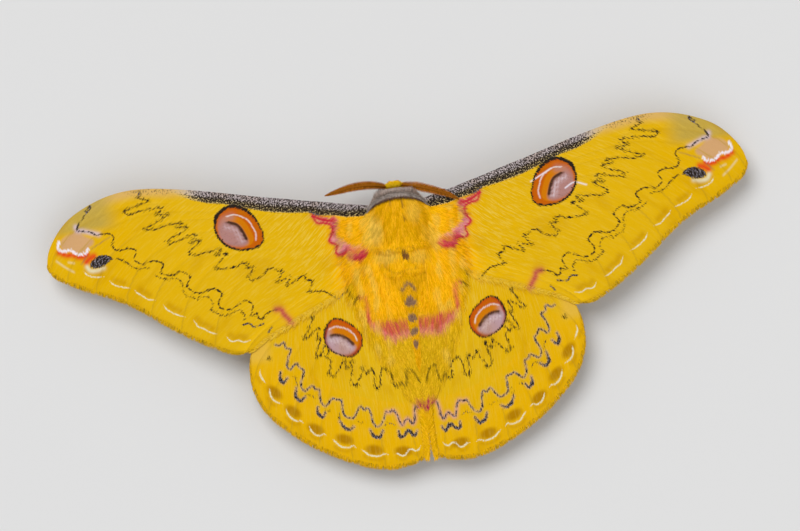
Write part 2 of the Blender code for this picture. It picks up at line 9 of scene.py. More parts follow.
import bpy
import numpy as np
from mathutils import Matrix, Vector


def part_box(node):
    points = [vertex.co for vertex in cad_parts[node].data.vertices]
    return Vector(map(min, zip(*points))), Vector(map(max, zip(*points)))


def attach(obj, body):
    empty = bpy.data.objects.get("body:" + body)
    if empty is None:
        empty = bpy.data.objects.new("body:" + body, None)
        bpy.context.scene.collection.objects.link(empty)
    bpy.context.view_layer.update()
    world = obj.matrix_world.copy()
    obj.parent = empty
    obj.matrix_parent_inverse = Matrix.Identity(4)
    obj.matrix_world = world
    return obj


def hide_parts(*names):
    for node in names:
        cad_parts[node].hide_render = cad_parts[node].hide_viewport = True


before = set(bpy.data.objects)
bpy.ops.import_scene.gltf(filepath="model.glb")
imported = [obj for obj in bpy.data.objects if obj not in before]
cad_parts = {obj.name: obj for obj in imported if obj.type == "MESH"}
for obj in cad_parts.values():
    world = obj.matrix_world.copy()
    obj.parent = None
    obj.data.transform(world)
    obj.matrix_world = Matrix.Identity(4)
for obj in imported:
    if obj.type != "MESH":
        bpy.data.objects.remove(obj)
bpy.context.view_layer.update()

MM = 0.001
BUMP_DISTANCE = 0.04 * MM
RANDOM = np.random.default_rng(7)
UP = np.array([(0.0, 0.0, 1.0)])
AHEAD = np.array([(0.0, 1.0, 0.0)])
SIDES = ((1, "right"), (-1, "left"))


def node_middle(name):
    """The middle of a node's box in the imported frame, in metres."""
    low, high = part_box(name)
    return (np.array(low) + np.array(high)) / 2


EYE_CENTRE = np.array([1.45, 6.30, 4.15])
EYE_RADIUS = 0.88
EYES_BETWEEN = EYE_CENTRE * (0.0, 1.0, 1.0)
ORIGIN = (node_middle("eye_right") + node_middle("eye_left")) / 2 / MM - EYES_BETWEEN


def smooth_values(at, places, values):
    """A smooth curve through values given at rising places, read at other places."""
    places = np.asarray(places, float)
    values = np.asarray(values, float)
    slopes = np.gradient(values, places, axis=0)
    at = np.clip(np.atleast_1d(np.asarray(at, float)), places[0], places[-1])
    k = np.clip(np.searchsorted(places, at) - 1, 0, len(places) - 2)
    width = places[k + 1] - places[k]
    p = ((at - places[k]) / width)[:, None]
    width = width[:, None]
    rise = values[k + 1] - values[k]
    return (values[k] + p * width * slopes[k]
            + p ** 2 * (3 * rise - width * (2 * slopes[k] + slopes[k + 1]))
            + p ** 3 * (width * (slopes[k] + slopes[k + 1]) - 2 * rise))


def run_along(points):
    """How far along a line each of its points is."""
    steps = np.linalg.norm(np.diff(np.asarray(points, float), axis=0), axis=1)
    return np.concatenate([[0.0], np.cumsum(steps)])


def curve_points(points, shares):
    """Points on a smooth curve through the given ones, at shares of its length."""
    points = np.asarray(points, float)
    knots = run_along(points)
    dense = smooth_values(np.linspace(0, knots[-1], 24 * len(points)), knots, points)
    run = run_along(dense)
    at = np.asarray(shares, float) * run[-1]
    return np.stack([np.interp(at, run, dense[:, k]) for k in range(dense.shape[1])], axis=-1)


def ramp(x, low=0.0, high=1.0):
    """0 below low, 1 above high, and smooth between them."""
    x = np.clip((np.asarray(x, float) - low) / (high - low), 0.0, 1.0)
    return x * x * (3 - 2 * x)


def fall(x, low, high):
    """1 below low, 0 above high, and smooth between them."""
    return 1 - ramp(x, low, high)


def between(x, start, full, leave, end):
    """1 from full to leave, 0 before start and past end, and smooth between them."""
    return ramp(x, start, full) * fall(x, leave, end)


def bell(gap, reach):
    """1 where a gap is 0, less the further it goes past a reach."""
    return np.exp(-(gap / reach) ** 2)


def read_line(points, x):
    """A line's second value at places along its first one."""
    return np.interp(x, *np.asarray(points, float).T)


def stack(*parts):
    """Arrays of one value each as an array of points."""
    return np.stack(parts, axis=-1)


def unit(vectors):
    """Vectors brought to length 1."""
    return vectors / (np.linalg.norm(vectors, axis=-1, keepdims=True) + 1e-9)


# Body shape: place along the body, half width, half height, height of the centre
BODY = np.array([
    (-19.2, 0.25, 0.30, 2.95),
    (-18.5, 0.70, 0.75, 3.00),
    (-16.0, 1.40, 1.40, 3.30),
    (-12.0, 2.00, 1.95, 3.85),
    (-8.00, 2.45, 2.35, 4.45),
    (-4.90, 3.00, 2.80, 5.10),
    (-3.00, 3.60, 3.30, 5.40),
    (0.00, 4.10, 3.60, 5.60),
    (3.00, 4.15, 3.45, 5.80),
    (4.60, 4.00, 3.00, 6.00),
    (5.20, 3.50, 2.40, 6.20),
    (5.65, 2.60, 1.70, 6.30),
])
BODY_LENGTH = (5.65, -19.2)
FRONT_BEND = 0.047
FRONT_TILT = 0.35


def front_share(s):
    """How much the body's front end leans and bends at places along it."""
    return ramp(s, 0.0, 4.5)


def body_point(s, angle, grow=0.0):
    """Points on the body's skin; angle 0 is its right side and a quarter turn is the top."""
    size = smooth_values(s, BODY[:, 0], BODY[:, 1:])
    x = (size[:, 0] + grow) * np.cos(angle)
    rise = (size[:, 1] + grow) * np.sin(angle)
    y = s + front_share(s) * (FRONT_TILT * rise - FRONT_BEND * x * x)
    return stack(x, y, size[:, 2] + rise)


def body_top(x, y, grow=0.0):
    """Height of the body's upper skin at places seen from above; far below where there is no body."""
    s = y.copy()
    for _ in range(8):
        size = smooth_values(s, BODY[:, 0], BODY[:, 1:])
        part = np.clip(1 - (x / (size[:, 0] + grow)) ** 2, 0.0, 1.0)
        rise = (size[:, 1] + grow) * np.sqrt(part)
        s = 0.5 * s + 0.5 * (y - front_share(s) * (FRONT_TILT * rise - FRONT_BEND * x * x))
    height = size[:, 2] + rise
    return np.where((part > 0) & (s < BODY_LENGTH[0]) & (s > BODY_LENGTH[1]), height, -9.0)


def body_side(y, height):
    """The body's half width at a place seen from above and a height."""
    s = y
    x = 0.0
    for _ in range(6):
        half_width, half_height, centre = smooth_values(s, BODY[:, 0], BODY[:, 1:])[0]
        rise = height - centre
        x = half_width * math.sqrt(max(0.0, 1 - (rise / half_height) ** 2))
        s = y - front_share(s) * (FRONT_TILT * rise - FRONT_BEND * x * x)
    return float(x)


# Wing outlines for the right side, seen from above
FORE_COSTA = [(7.0, 5.4), (10.0, 6.15), (12.0, 6.63), (15.0, 7.46), (18.0, 8.2), (22.0, 9.28),
              (25.0, 10.07), (29.0, 11.0), (33.0, 11.7), (35.0, 11.85), (38.0, 11.6), (41.5, 10.56),
              (44.5, 8.93), (46.3, 7.07), (47.5, 5.1), (48.0, 2.94)]
FORE_MARGIN = [(48.0, 2.94), (47.6, 2.07), (46.5, 0.9), (45.5, 0.33), (43.5, -0.84), (41.5, -1.77),
               (39.0, -3.05), (36.0, -5.05), (34.0, -6.74), (32.0, -8.26), (29.0, -10.35),
               (27.0, -11.5), (25.0, -12.44), (24.0, -12.64), (23.0, -12.56), (21.8, -12.3)]
FORE_INNER = [(7.0, -5.0), (10.0, -6.9), (13.5, -8.3), (16.5, -9.6), (19.0, -10.6), (20.5, -11.4),
              (21.8, -12.3)]
FORE_ROOT_SPAN = (4.75, -1.20)
HIND_COSTA = [(9.0, -2.2), (14.0, -4.4), (18.5, -7.8), (21.3, -10.6), (22.4, -13.2)]
HIND_MARGIN = [(22.4, -13.2), (22.8, -14.5), (22.95, -16.2), (22.9, -17.7), (22.6, -19.0),
               (21.3, -21.8), (18.9, -24.4), (16.0, -26.8), (12.0, -29.2), (8.0, -30.9), (5.2, -31.4),
               (2.2, -31.0), (0.2, -30.2)]
HIND_ROOT_SPAN = (-0.90, -4.70)
HIND_INNER_PLACES = (-8.0, -12.0, -16.0, -18.5)
CLEFT = [(0.45, -21.0), (0.2, -24.0), (0.2, -30.2)]
LEFT_SWEEP = math.radians(1.1)
LEFT_REACH = 0.2
ROOT_GAP = 0.3
ROOT_HEIGHT = 6.7
TIP_DROP = 2.6
REAR_DROP = 2.2
HINDWING_BELOW = 0.72

# Veins as shares of the way across the wing at its root, cell end and margin, then where each starts
CELL_END = 0.45
FORE_VEINS = [(0.12, 0.10, 0.03, 0.55), (0.20, 0.16, 0.115, 0.0), (0.28, 0.22, 0.25, 0.42),
              (0.40, 0.32, 0.39, 0.47), (0.52, 0.42, 0.51, 0.44), (0.61, 0.49, 0.66, 0.0),
              (0.70, 0.60, 0.82, 0.22), (0.87, 0.88, 0.95, 0.0)]
HIND_VEINS = [(0.12, 0.12, 0.134, 0.0), (0.26, 0.27, 0.265, 0.36), (0.38, 0.38, 0.385, 0.42),
              (0.50, 0.50, 0.52, 0.38), (0.60, 0.60, 0.67, 0.0), (0.72, 0.73, 0.81, 0.20),
              (0.88, 0.88, 0.95, 0.0)]

WING_HALF_THICK = 0.2
EDGE_HALF_THICK = 0.07
VEIN_RISE = 0.08
VEIN_HALF_WIDTH = 0.22
PLEAT_SAG = 0.06
WING_STEP = 0.165      # spacing of the wings' grids, twice as much on the underside
UNDERSIDE_WIDER = 0.04   # how much wider the underside's lines are
UNDERSIDE_SHADE = 0.92
MARGIN_FRINGE = 0.45   # how far the fringe of hair stands past the skin at the outer margin
INNER_FRINGE = 0.12
INNER_REACH = {"fore": 1.2, "hind": 0.3}   # how far the inner fringe's hairs reach over what is beside them
MARGIN_HAIRS = 44      # hairs to a millimetre of the outer margin
INNER_HAIRS = 46       # hairs to a millimetre of the inner one
COSTA_INSET = 0.03
THIN_REACH = 1.3       # how far in from its edges a wing reaches its full thickness
REAR_DROOP = 0.46      # how far the forewing's rear edge sinks towards the hindwing under it
REAR_DROOP_REACH = 3.6
MAP_REAR = 32          # how far behind the moth's origin the wings' baking map starts
MAP_SPAN = 50          # and the size of its side
FLOW_LENGTH = 45       # length given to every line along a wing, for the run of its scales
OUTLINE_PLACES = 64    # places round a smooth outline drawn through a few points
BEST_ROOM = 1.5        # how far from a line its distance is worked out


def wing_height(x, y):
    """Height of the forewing's middle surface; the hindwing keeps below it."""
    return (ROOT_HEIGHT - TIP_DROP * (np.abs(x) / 48.0) ** 2
            - REAR_DROP * (np.maximum(0.0, -y) / 31.4) ** 1.5)


def half_thickness(room):
    """Half a wing's thickness at a distance from its edges."""
    return EDGE_HALF_THICK + (WING_HALF_THICK - EDGE_HALF_THICK) * ramp(room, 0, THIN_REACH)


def rear_droop(past):
    """How far the forewing sinks at a distance from its rear edge; past the edge it goes on down."""
    return REAR_DROOP * fall(past, 0.0, REAR_DROOP_REACH) - 0.03 * np.minimum(past, 0.0)


def swept(x, y):
    """Where the left forewing holds a place of the right one, still drawn for the right."""
    part = ramp((x - 5) / 12)
    turn = LEFT_SWEEP * part
    return (4 + (x - 4) * np.cos(turn) + (y - 4) * np.sin(turn) + LEFT_REACH * part,
            4 - (x - 4) * np.sin(turn) + (y - 4) * np.cos(turn))


def root_line(span, below):
    """Where a wing meets the body, front to rear, clear of the body's side."""
    return [(body_side(y, ROOT_HEIGHT - below) + ROOT_GAP, y) for y in np.linspace(*span, 5)]


def fore_edges():
    """A forewing's front, rear, root and outer edges."""
    root = root_line(FORE_ROOT_SPAN, 0.0)
    return [root[0]] + FORE_COSTA, [root[-1]] + FORE_INNER, root, FORE_MARGIN


def hind_edges():
    """A hindwing's front, inner, root and outer edges."""
    root = root_line(HIND_ROOT_SPAN, HINDWING_BELOW)
    beside = []
    for y in HIND_INNER_PLACES:
        underside = wing_height(0.0, y) - HINDWING_BELOW - 0.75
        beside.append((max(body_side(y, underside), CLEFT[0][0]) + ROOT_GAP, y))
    return [root[0]] + HIND_COSTA, [root[-1]] + beside + CLEFT, root, HIND_MARGIN


# Markings of the right wings, seen from above
FORE_ZIGZAG = [(34.3, 11.5), (33.95, 11.2), (34.3, 10.75), (33.3, 10.25), (32.8, 10.05), (33.9, 9.75),
               (35.0, 9.5), (36.4, 9.0), (36.0, 8.6), (34.5, 8.8), (33.0, 8.85), (31.8, 8.85),
               (31.2, 8.7), (31.5, 8.4), (32.1, 8.1), (30.5, 7.75), (31.1, 7.6), (31.5, 7.3),
               (32.4, 7.0), (33.1, 6.65), (33.9, 6.35), (33.0, 6.05), (32.0, 6.15), (31.1, 6.35),
               (29.9, 6.4), (29.0, 6.3), (29.7, 5.9), (28.4, 5.7), (28.9, 5.3), (29.7, 4.9),
               (30.5, 4.6), (31.3, 4.0), (30.4, 3.9), (28.7, 4.3), (27.4, 4.5), (27.5, 4.0),
               (28.2, 3.55), (26.8, 3.6), (27.2, 3.2), (27.7, 2.85), (28.5, 2.2), (28.4, 1.95),
               (27.5, 1.8), (26.5, 1.85), (25.5, 1.95), (24.3, 1.95), (24.9, 1.4), (23.6, 1.25),
               (24.05, 0.9), (24.6, 0.35), (25.3, -0.35), (24.5, -0.65), (23.8, -0.75), (23.0, -0.7),
               (22.3, -0.5), (21.7, -0.3), (20.7, -0.7), (21.1, -0.95), (20.3, -1.1), (20.6, -1.7),
               (21.2, -2.45), (20.9, -2.8), (20.1, -2.7), (19.3, -2.4), (18.5, -1.85), (18.0, -1.6),
               (17.0, -2.15), (16.5, -2.2), (17.3, -3.55), (15.7, -3.25), (16.1, -4.15), (15.5, -4.1),
               (14.8, -3.8), (13.6, -3.35), (13.5, -3.95), (12.7, -4.2), (12.9, -4.8), (13.4, -5.5),
               (12.0, -5.75), (11.2, -5.95), (10.4, -6.6), (10.0, -7.0)]
FORE_WAVE = [(41.1, 10.3), (41.6, 9.8), (42.05, 9.15), (42.6, 8.6), (43.0, 8.1), (43.1, 7.6),
             (42.3, 7.35), (41.1, 6.95), (40.7, 6.6), (40.0, 6.55), (39.3, 6.55), (38.7, 6.4),
             (38.35, 6.1), (38.4, 5.6), (38.7, 5.0), (38.6, 4.5), (38.2, 4.1), (37.3, 4.0),
             (36.5, 4.05), (35.6, 3.6), (35.85, 3.0), (36.1, 2.5), (35.7, 2.1), (35.1, 1.7),
             (34.4, 1.8), (33.4, 1.9), (32.8, 1.65), (32.2, 1.2), (32.5, 0.65), (32.7, 0.05),
             (32.2, -0.25), (31.7, -0.4), (30.9, -0.35), (30.0, -0.1), (29.4, -0.5), (28.9, -1.0),
             (29.2, -1.55), (29.5, -2.3), (29.0, -2.95), (28.4, -3.3), (27.8, -3.4), (26.95, -3.25),
             (26.0, -3.1), (25.4, -3.45), (25.0, -3.95), (25.4, -4.6), (25.7, -5.3), (25.5, -5.8),
             (24.9, -6.1), (24.3, -6.2), (23.6, -6.0), (22.8, -5.65), (22.1, -5.35), (21.5, -5.65),
             (21.2, -6.05), (21.2, -6.5), (21.6, -7.55), (20.7, -7.4), (20.6, -8.1), (20.3, -8.2),
             (19.6, -7.7), (18.9, -7.4), (18.1, -7.2)]
FORE_DOTS = [
    [(38.4, 3.0), (37.3, 2.4), (36.8, 1.9), (36.2, 1.4), (35.5, 1.1), (34.6, 1.15), (34.0, 1.05)],
    [(33.6, -0.1), (32.4, -0.75), (31.5, -0.95), (30.9, -0.9), (30.1, -1.6), (30.2, -3.0),
     (29.5, -3.6), (28.5, -4.1), (27.5, -3.95), (26.9, -4.1), (26.5, -5.3), (26.8, -5.9),
     (26.1, -6.45), (25.5, -6.85), (24.9, -7.0), (24.2, -6.75), (23.2, -6.5), (22.65, -6.75),
     (22.4, -7.4), (22.6, -8.1)],
]
FORE_DOTS_HEAVY = [[(22.8, -8.6), (22.0, -8.5), (21.5, -9.05), (20.8, -9.0), (20.15, -8.9)],
                   [(19.1, -9.5), (19.6, -10.1)]]
FORE_BLUSH = [(18.1, -7.2), (17.5, -7.3), (17.2, -8.0), (16.8, -8.55), (16.3, -9.4)]
FORE_CRESCENTS = [
    [(40.4, 0.85), (41.3, 0.9), (42.3, 1.2), (42.9, 1.65), (43.1, 2.1)],
    [(37.2, -1.25), (38.2, -0.95), (39.0, -0.6), (39.5, -0.3), (39.8, 0.25)],
    [(34.05, -3.4), (35.1, -3.1), (35.7, -2.6), (36.25, -2.15), (36.7, -1.5)],
    [(30.4, -6.3), (31.3, -5.9), (32.2, -5.35), (32.8, -4.8), (33.1, -4.2)],
    [(26.5, -9.25), (27.4, -8.9), (28.2, -8.25), (28.9, -7.85), (29.2, -7.3), (29.4, -6.9)],
    [(22.2, -10.75), (23.2, -10.87), (23.9, -10.5), (24.6, -10.6), (25.1, -10.2), (25.3, -9.8)],
]
FORE_FAINT = [[(44.2, 3.3), (44.9, 3.5)], [(44.4, 2.1), (45.2, 2.7), (46.5, 3.9)]]
FORE_BAND_OUTER = [(11.3, 4.5), (10.9, 3.4), (9.9, 3.2), (9.15, 2.85), (8.95, 2.3), (9.2, 1.55),
                   (9.65, 0.8), (9.4, 0.4), (8.8, 0.1), (8.75, -0.25), (9.0, -1.0), (8.75, -1.25),
                   (8.1, -1.2), (7.2, -1.05), (6.95, -1.65), (6.2, -1.95), (5.2, -1.7), (4.4, -1.25)]
FORE_BAND_INNER = [(8.7, 3.6), (8.42, 3.2), (8.45, 2.5), (8.7, 1.9), (8.8, 1.3), (8.3, 0.7), (7.4, 0.15),
                   (6.4, -0.2), (5.2, -0.5), (4.4, -0.7)]
FORE_BAND_ROOT = [(4.6, -1.0), (5.6, -1.1), (6.6, -1.0), (7.2, -0.6)]
FORE_BAND_FRONT = [(8.8, 3.4), (9.8, 3.65), (10.6, 4.1), (11.3, 4.5)]
FORE_BAND_FRONT_LINE = [(9.0, 3.35), (9.9, 3.6), (10.7, 4.0), (11.4, 4.4)]
FORE_BAND_TIP = [(10.6, 4.45), (11.2, 4.75), (11.7, 5.2)]
COSTAL_LOWER = [(4.0, 3.35), (5.0, 3.4), (7.0, 3.55), (8.5, 4.0), (10.3, 4.3), (12.0, 5.0),
                (14.0, 5.3), (15.8, 5.67), (17.5, 6.1), (19.0, 6.6), (21.5, 7.5), (23.1, 8.05),
                (24.9, 8.4), (27.1, 9.2), (28.3, 9.8), (31.0, 11.0)]
APEX_PATCH = [(42.1, 6.6), (43.15, 7.55), (43.55, 7.35), (44.55, 7.1), (45.35, 6.65), (45.65, 5.95),
              (45.4, 5.3), (44.65, 5.2), (44.1, 5.05), (43.7, 4.5), (42.8, 4.45), (42.05, 5.0),
              (41.25, 5.4), (41.15, 6.05)]
APEX_WHITE = [(42.03, 4.91), (42.3, 4.45), (43.14, 4.33), (43.76, 4.5), (44.17, 4.95), (44.79, 5.12),
              (45.47, 5.11), (46.04, 5.54), (45.94, 6.07), (45.74, 6.44)]
APEX_RED = [(42.2, 4.15), (42.75, 3.95), (43.45, 4.0), (44.15, 4.35), (45.05, 4.5), (46.0, 5.0)]
APEX_LILAC = [(40.3, 6.62), (41.3, 7.0), (42.3, 7.4), (43.15, 7.65), (43.2, 8.1)]
APEX_SPOT = [(38.96, 3.13), (39.53, 3.56), (40.32, 3.7), (40.98, 3.52), (41.7, 3.17), (42.03, 2.52),
             (41.65, 2.24), (40.79, 2.19), (39.98, 2.47), (39.34, 2.82)]
APEX_BLACK = [(40.85, 10.45), (41.2, 10.15), (41.5, 9.76)]
APEX_GLEAM = [(40.3, 2.0), (41.24, 1.8), (42.25, 2.0), (42.5, 2.5)]
APEX_BLUSH = [(41.4, 3.8), (42.0, 3.5), (42.5, 3.15)]
APEX_VEINS = [[(42.24, 4.03), (43.29, 2.94)], [(38.8, 6.05), (41.6, 4.8)]]
FORE_EYESPOT = {
    "outline": [(18.45, 2.2), (18.3, 3.2), (18.55, 4.2), (19.1, 5.5), (20.2, 6.75), (21.4, 7.4), (22.6, 7.4),
                (24.0, 6.55), (24.5, 5.3), (24.4, 4.1), (23.9, 3.1), (23.2, 2.3), (22.0, 1.65), (20.55, 1.45),
                (19.2, 1.6)],
    "pupil": [(20.4, 2.5), (21.0, 4.2), (21.5, 4.95), (22.6, 5.45), (23.3, 5.6), (23.95, 4.75), (24.1, 4.0),
              (23.75, 3.1), (22.9, 2.35), (21.8, 2.0), (20.9, 2.0)],
    "brown": [(20.55, 2.85), (20.75, 3.5), (21.05, 4.25), (21.55, 4.95), (22.6, 5.45)],
    "white": [(19.35, 2.45), (19.2, 3.4), (19.5, 4.3), (19.85, 5.15), (20.7, 5.87), (21.5, 6.3),
              (22.8, 6.25)],
    "haze": [(22.2, 6.1), (23.3, 5.8), (23.9, 4.9)]}
FORE_SPOT_CAP = [(19.9, 6.75), (20.9, 7.45), (22.0, 7.6), (23.2, 7.25)]
FORE_SCRATCHES = [[(18.4, 4.85), (21.35, 6.25)], [(22.9, 3.35), (24.1, 3.95), (25.8, 3.4)]]

HIND_ZIGZAG = [(14.6, -8.6), (13.8, -9.2), (14.4, -10.3), (14.9, -11.2), (15.3, -11.7), (14.8, -11.8),
               (14.2, -11.2), (13.2, -10.8), (13.5, -12.1), (13.2, -12.2), (13.6, -13.2), (14.0, -14.5),
               (13.6, -14.4), (12.6, -13.2), (12.2, -14.0), (12.7, -14.7), (12.3, -14.9), (12.2, -15.5),
               (12.5, -16.6), (12.7, -17.0), (12.0, -17.4), (11.6, -17.0), (11.0, -16.3), (10.3, -15.5),
               (10.1, -16.5), (9.6, -16.5), (9.3, -15.8), (9.5, -17.0), (9.8, -18.3), (9.7, -18.9),
               (9.1, -19.1), (8.9, -18.6), (8.4, -18.0), (8.0, -16.9), (7.5, -17.6), (6.8, -17.2),
               (6.7, -19.0), (6.5, -19.9), (6.1, -19.7), (5.9, -18.6), (5.3, -17.3), (4.6, -17.6),
               (3.9, -19.9), (3.6, -19.7), (3.3, -18.9), (2.8, -19.9), (2.5, -19.0), (2.2, -17.3),
               (1.2, -18.3), (0.9, -19.3)]
HIND_WAVE = [(19.3, -12.1), (18.9, -12.3), (18.1, -12.0), (17.9, -12.8), (17.4, -12.9), (17.9, -14.3),
             (18.1, -15.4), (17.8, -15.7), (17.3, -15.3), (16.8, -15.0), (16.4, -15.7), (16.0, -16.0),
             (16.2, -16.8), (16.6, -17.8), (16.6, -18.4), (16.2, -18.9), (15.7, -18.6), (15.0, -18.3),
             (14.8, -18.8), (14.3, -18.9), (14.3, -19.8), (14.2, -20.8), (13.8, -21.3), (13.3, -21.0),
             (12.6, -20.4), (12.2, -20.6), (11.5, -20.8), (11.5, -21.7), (11.3, -23.0), (10.8, -23.3),
             (10.2, -23.4), (9.8, -22.9), (9.0, -22.0), (8.6, -22.5), (8.1, -22.3), (7.8, -23.1),
             (7.7, -24.2), (7.3, -25.0), (6.7, -24.9), (6.2, -24.2), (5.6, -23.2), (5.2, -23.3),
             (4.8, -23.1), (4.3, -23.8), (4.1, -24.6), (3.8, -25.3), (3.4, -24.9), (3.0, -24.5),
             (2.3, -25.3), (2.0, -24.8), (1.9, -23.8), (1.7, -22.9)]
HIND_HEAVY = [
    [(18.3, -16.8), (19.0, -17.4), (19.3, -16.6), (19.1, -15.9)],
    [(16.3, -19.7), (17.0, -20.1), (17.5, -19.5), (17.3, -18.3)],
    [(13.9, -22.2), (14.3, -22.7), (14.9, -22.0), (14.8, -21.3)],
    [(10.3, -24.6), (10.8, -24.9), (11.6, -24.5), (12.1, -23.6)],
    [(6.5, -25.7), (7.1, -26.5), (7.8, -26.2), (8.2, -25.3)],
    [(4.4, -26.0), (4.2, -26.9), (3.8, -26.8), (3.1, -26.1), (2.3, -26.9), (1.9, -26.3)],
]
HIND_DOTS = [[(17.3, -18.3), (17.1, -17.4), (17.5, -16.7)], [(15.1, -20.0), (15.4, -19.5), (16.2, -19.5)],
             [(9.7, -24.0), (8.7, -24.2)], [(6.1, -25.0), (5.5, -24.8), (4.8, -25.1)],
             [(12.1, -23.6), (12.0, -22.4)], [(13.9, -22.2), (13.2, -21.9)]]
HIND_CRESCENTS = [
    [(21.8, -15.2), (21.9, -15.8), (21.6, -16.6), (21.3, -17.1)],
    [(20.9, -17.9), (20.9, -18.8), (20.5, -19.6), (20.0, -19.95), (19.5, -20.2)],
    [(19.1, -20.9), (18.9, -21.7), (18.4, -22.4), (17.8, -22.8), (17.3, -22.8), (17.0, -23.2)],
    [(16.3, -23.7), (16.0, -24.5), (15.5, -25.0), (15.0, -25.15), (14.5, -25.0), (14.1, -25.3)],
    [(13.5, -25.8), (13.0, -26.4), (12.6, -26.9), (11.9, -27.2), (11.3, -27.3), (10.8, -27.1),
     (10.4, -27.5)],
    [(9.8, -27.8), (9.3, -28.2), (8.9, -28.6), (8.2, -28.9), (7.3, -29.0), (6.7, -28.8), (6.2, -29.0)],
    [(5.4, -29.05), (5.0, -29.0), (4.6, -29.3), (4.0, -29.4), (3.7, -29.1), (3.3, -28.7), (2.9, -28.7),
     (2.5, -29.0), (2.0, -28.8), (1.7, -28.4)],
]
HIND_AMBER = [(20.3, -18.5), (18.2, -21.4), (15.5, -24.2), (11.8, -26.1), (8.0, -28.1), (4.1, -28.8)]
HIND_AMBER_SIZE = (1.3, 0.72)
HIND_LINE = [(9.9, -7.15), (8.3, -5.95), (7.9, -6.9), (7.55, -7.5), (7.3, -7.0), (6.8, -6.85)]
HIND_BLUSH = [(6.8, -6.85), (6.3, -6.8), (6.1, -7.6), (6.1, -8.6), (6.25, -9.6), (6.2, -10.2)]
HIND_BAND_UPPER = [(6.6, -9.9), (5.7, -10.6), (4.5, -10.5), (3.0, -10.7), (1.5, -11.0), (0.3, -11.0)]
HIND_BAND_LOWER = [(6.5, -10.9), (5.0, -11.9), (4.2, -12.7), (3.3, -13.1), (2.2, -12.9), (1.0, -12.9),
                   (0.3, -12.7)]
LEFT_SHIFT = (0.4, 0.1)   # the left hindwing's markings lie a little nearer the body and the tail
HIND_EYESPOT = {
    "outline": [(11.10, -9.83), (12.03, -10.57), (12.53, -11.86), (12.46, -12.95), (11.83, -13.95),
                (10.62, -14.73), (9.35, -15.11), (8.45, -14.7), (7.76, -13.79), (7.6, -12.54), (8.23, -11.4),
                (9.32, -10.46), (10.2, -9.95)],
    "pupil": [(8.88, -13.54), (9.4, -12.8), (10.31, -12.15), (11.29, -11.91), (11.85, -11.85),
              (12.33, -12.39),
              (12.04, -13.44), (11.21, -14.41), (9.8, -14.76), (8.9, -14.41), (8.56, -13.9)],
    "brown": [(8.8, -13.45), (9.4, -12.75), (10.3, -12.1), (11.2, -11.88), (11.6, -11.9)],
    "white": [(8.27, -13.04), (8.52, -12.26), (9.17, -11.53), (10.05, -11.03), (11.04, -10.83),
              (11.82, -11.08)],
    "haze": [(12.1, -11.5), (12.2, -12.0)]}

# Colours from the photo as they look on a screen, 0 to 255
YELLOW = (224, 174, 4)
PALE_YELLOW = (222, 180, 26)
GOLD = (246, 178, 2)
OLIVE = (186, 146, 30)
AMBER = (186, 132, 2)
AMBER_DEEP = (166, 112, 0)
TAN = (214, 172, 98)
APEX_GREY = (184, 158, 74)
PEACH = (208, 162, 116)
LILAC = (186, 166, 180)
LILAC_PALE = (206, 186, 204)
TAIL_ROSE = (174, 38, 76)
COSTAL_GREY = (188, 176, 178)
COSTAL_CREAM = (216, 192, 128)
SOOT = (44, 36, 30)
INK_BLUE = (168, 160, 172)
CRIMSON = (196, 44, 60)
PINK = (226, 142, 150)
ROSE = (206, 72, 74)
VERMILION = (222, 62, 24)
FORE_RIMS = ((188, 84, 8), (196, 96, 8))
HIND_RIMS = ((198, 78, 12), (138, 42, 34))
ORANGE = (206, 118, 8)
DEEP_ORANGE = (194, 92, 8)
BROWN = (66, 38, 34)
MARK_AND_SHADOW_BROWN = (118, 76, 42)
PUPIL = (174, 126, 122)
HIND_PUPIL = (184, 150, 158)
PUPIL_PALE = (214, 194, 200)
CHALK = (226, 218, 184)
WHITE = (238, 232, 244)
COLLAR_GREY = (160, 147, 140)
COLLAR_SHADE = (92, 62, 38)
MAUVE = (136, 104, 84)
STRAW = (232, 200, 84)
FUR = (250, 188, 4)
FUR_DEEP_AND_SHADE = (226, 166, 2)
FUR_PALE = (236, 196, 76)
LINE_OLIVE = (74, 60, 20)


def linear(colour):
    """Screen values to linear light."""
    c = np.asarray(colour, float) / 255
    return np.where(c <= 0.04045, c / 12.92, ((c + 0.055) / 1.055) ** 2.4)


def plain(colour, count):
    """One colour for a number of places."""
    return np.tile(linear(colour), (count, 1))


def line_distance(points, x, y, smooth=3):
    """Distance of places from a line through points, and how far along it each one is."""
    points = np.asarray(points, float)
    if smooth > 1 and len(points) > 2:
        points = curve_points(points, np.linspace(0, 1, smooth * len(points)))
    best = np.full(x.shape, 9.0)
    along = np.zeros(x.shape)
    run = 0.0
    for a, b in zip(points[:-1], points[1:]):
        step = b - a
        length = math.hypot(*step)
        if length < 1e-6:
            continue
        near = np.flatnonzero((x > min(a[0], b[0]) - BEST_ROOM) & (x < max(a[0], b[0]) + BEST_ROOM)
                              & (y > min(a[1], b[1]) - BEST_ROOM) & (y < max(a[1], b[1]) + BEST_ROOM))
        px = x[near] - a[0]
        py = y[near] - a[1]
        part = np.clip((px * step[0] + py * step[1]) / length ** 2, 0, 1)
        gap = np.hypot(px - part * step[0], py - part * step[1])
        closer = gap < best[near]
        best[near[closer]] = gap[closer]
        along[near[closer]] = run + part[closer] * length
        run += length
    return best, along


def inside(points, x, y):
    """Whether places lie inside a closed outline."""
    within = np.zeros(x.shape, bool)
    for (ax, ay), (bx, by) in zip(points, points[1:] + points[:1]):
        crosses = (ay > y) != (by > y)
        edge = ax + (y - ay) / (by - ay + 1e-12) * (bx - ax)
        within ^= crosses & (x < edge)
    return within


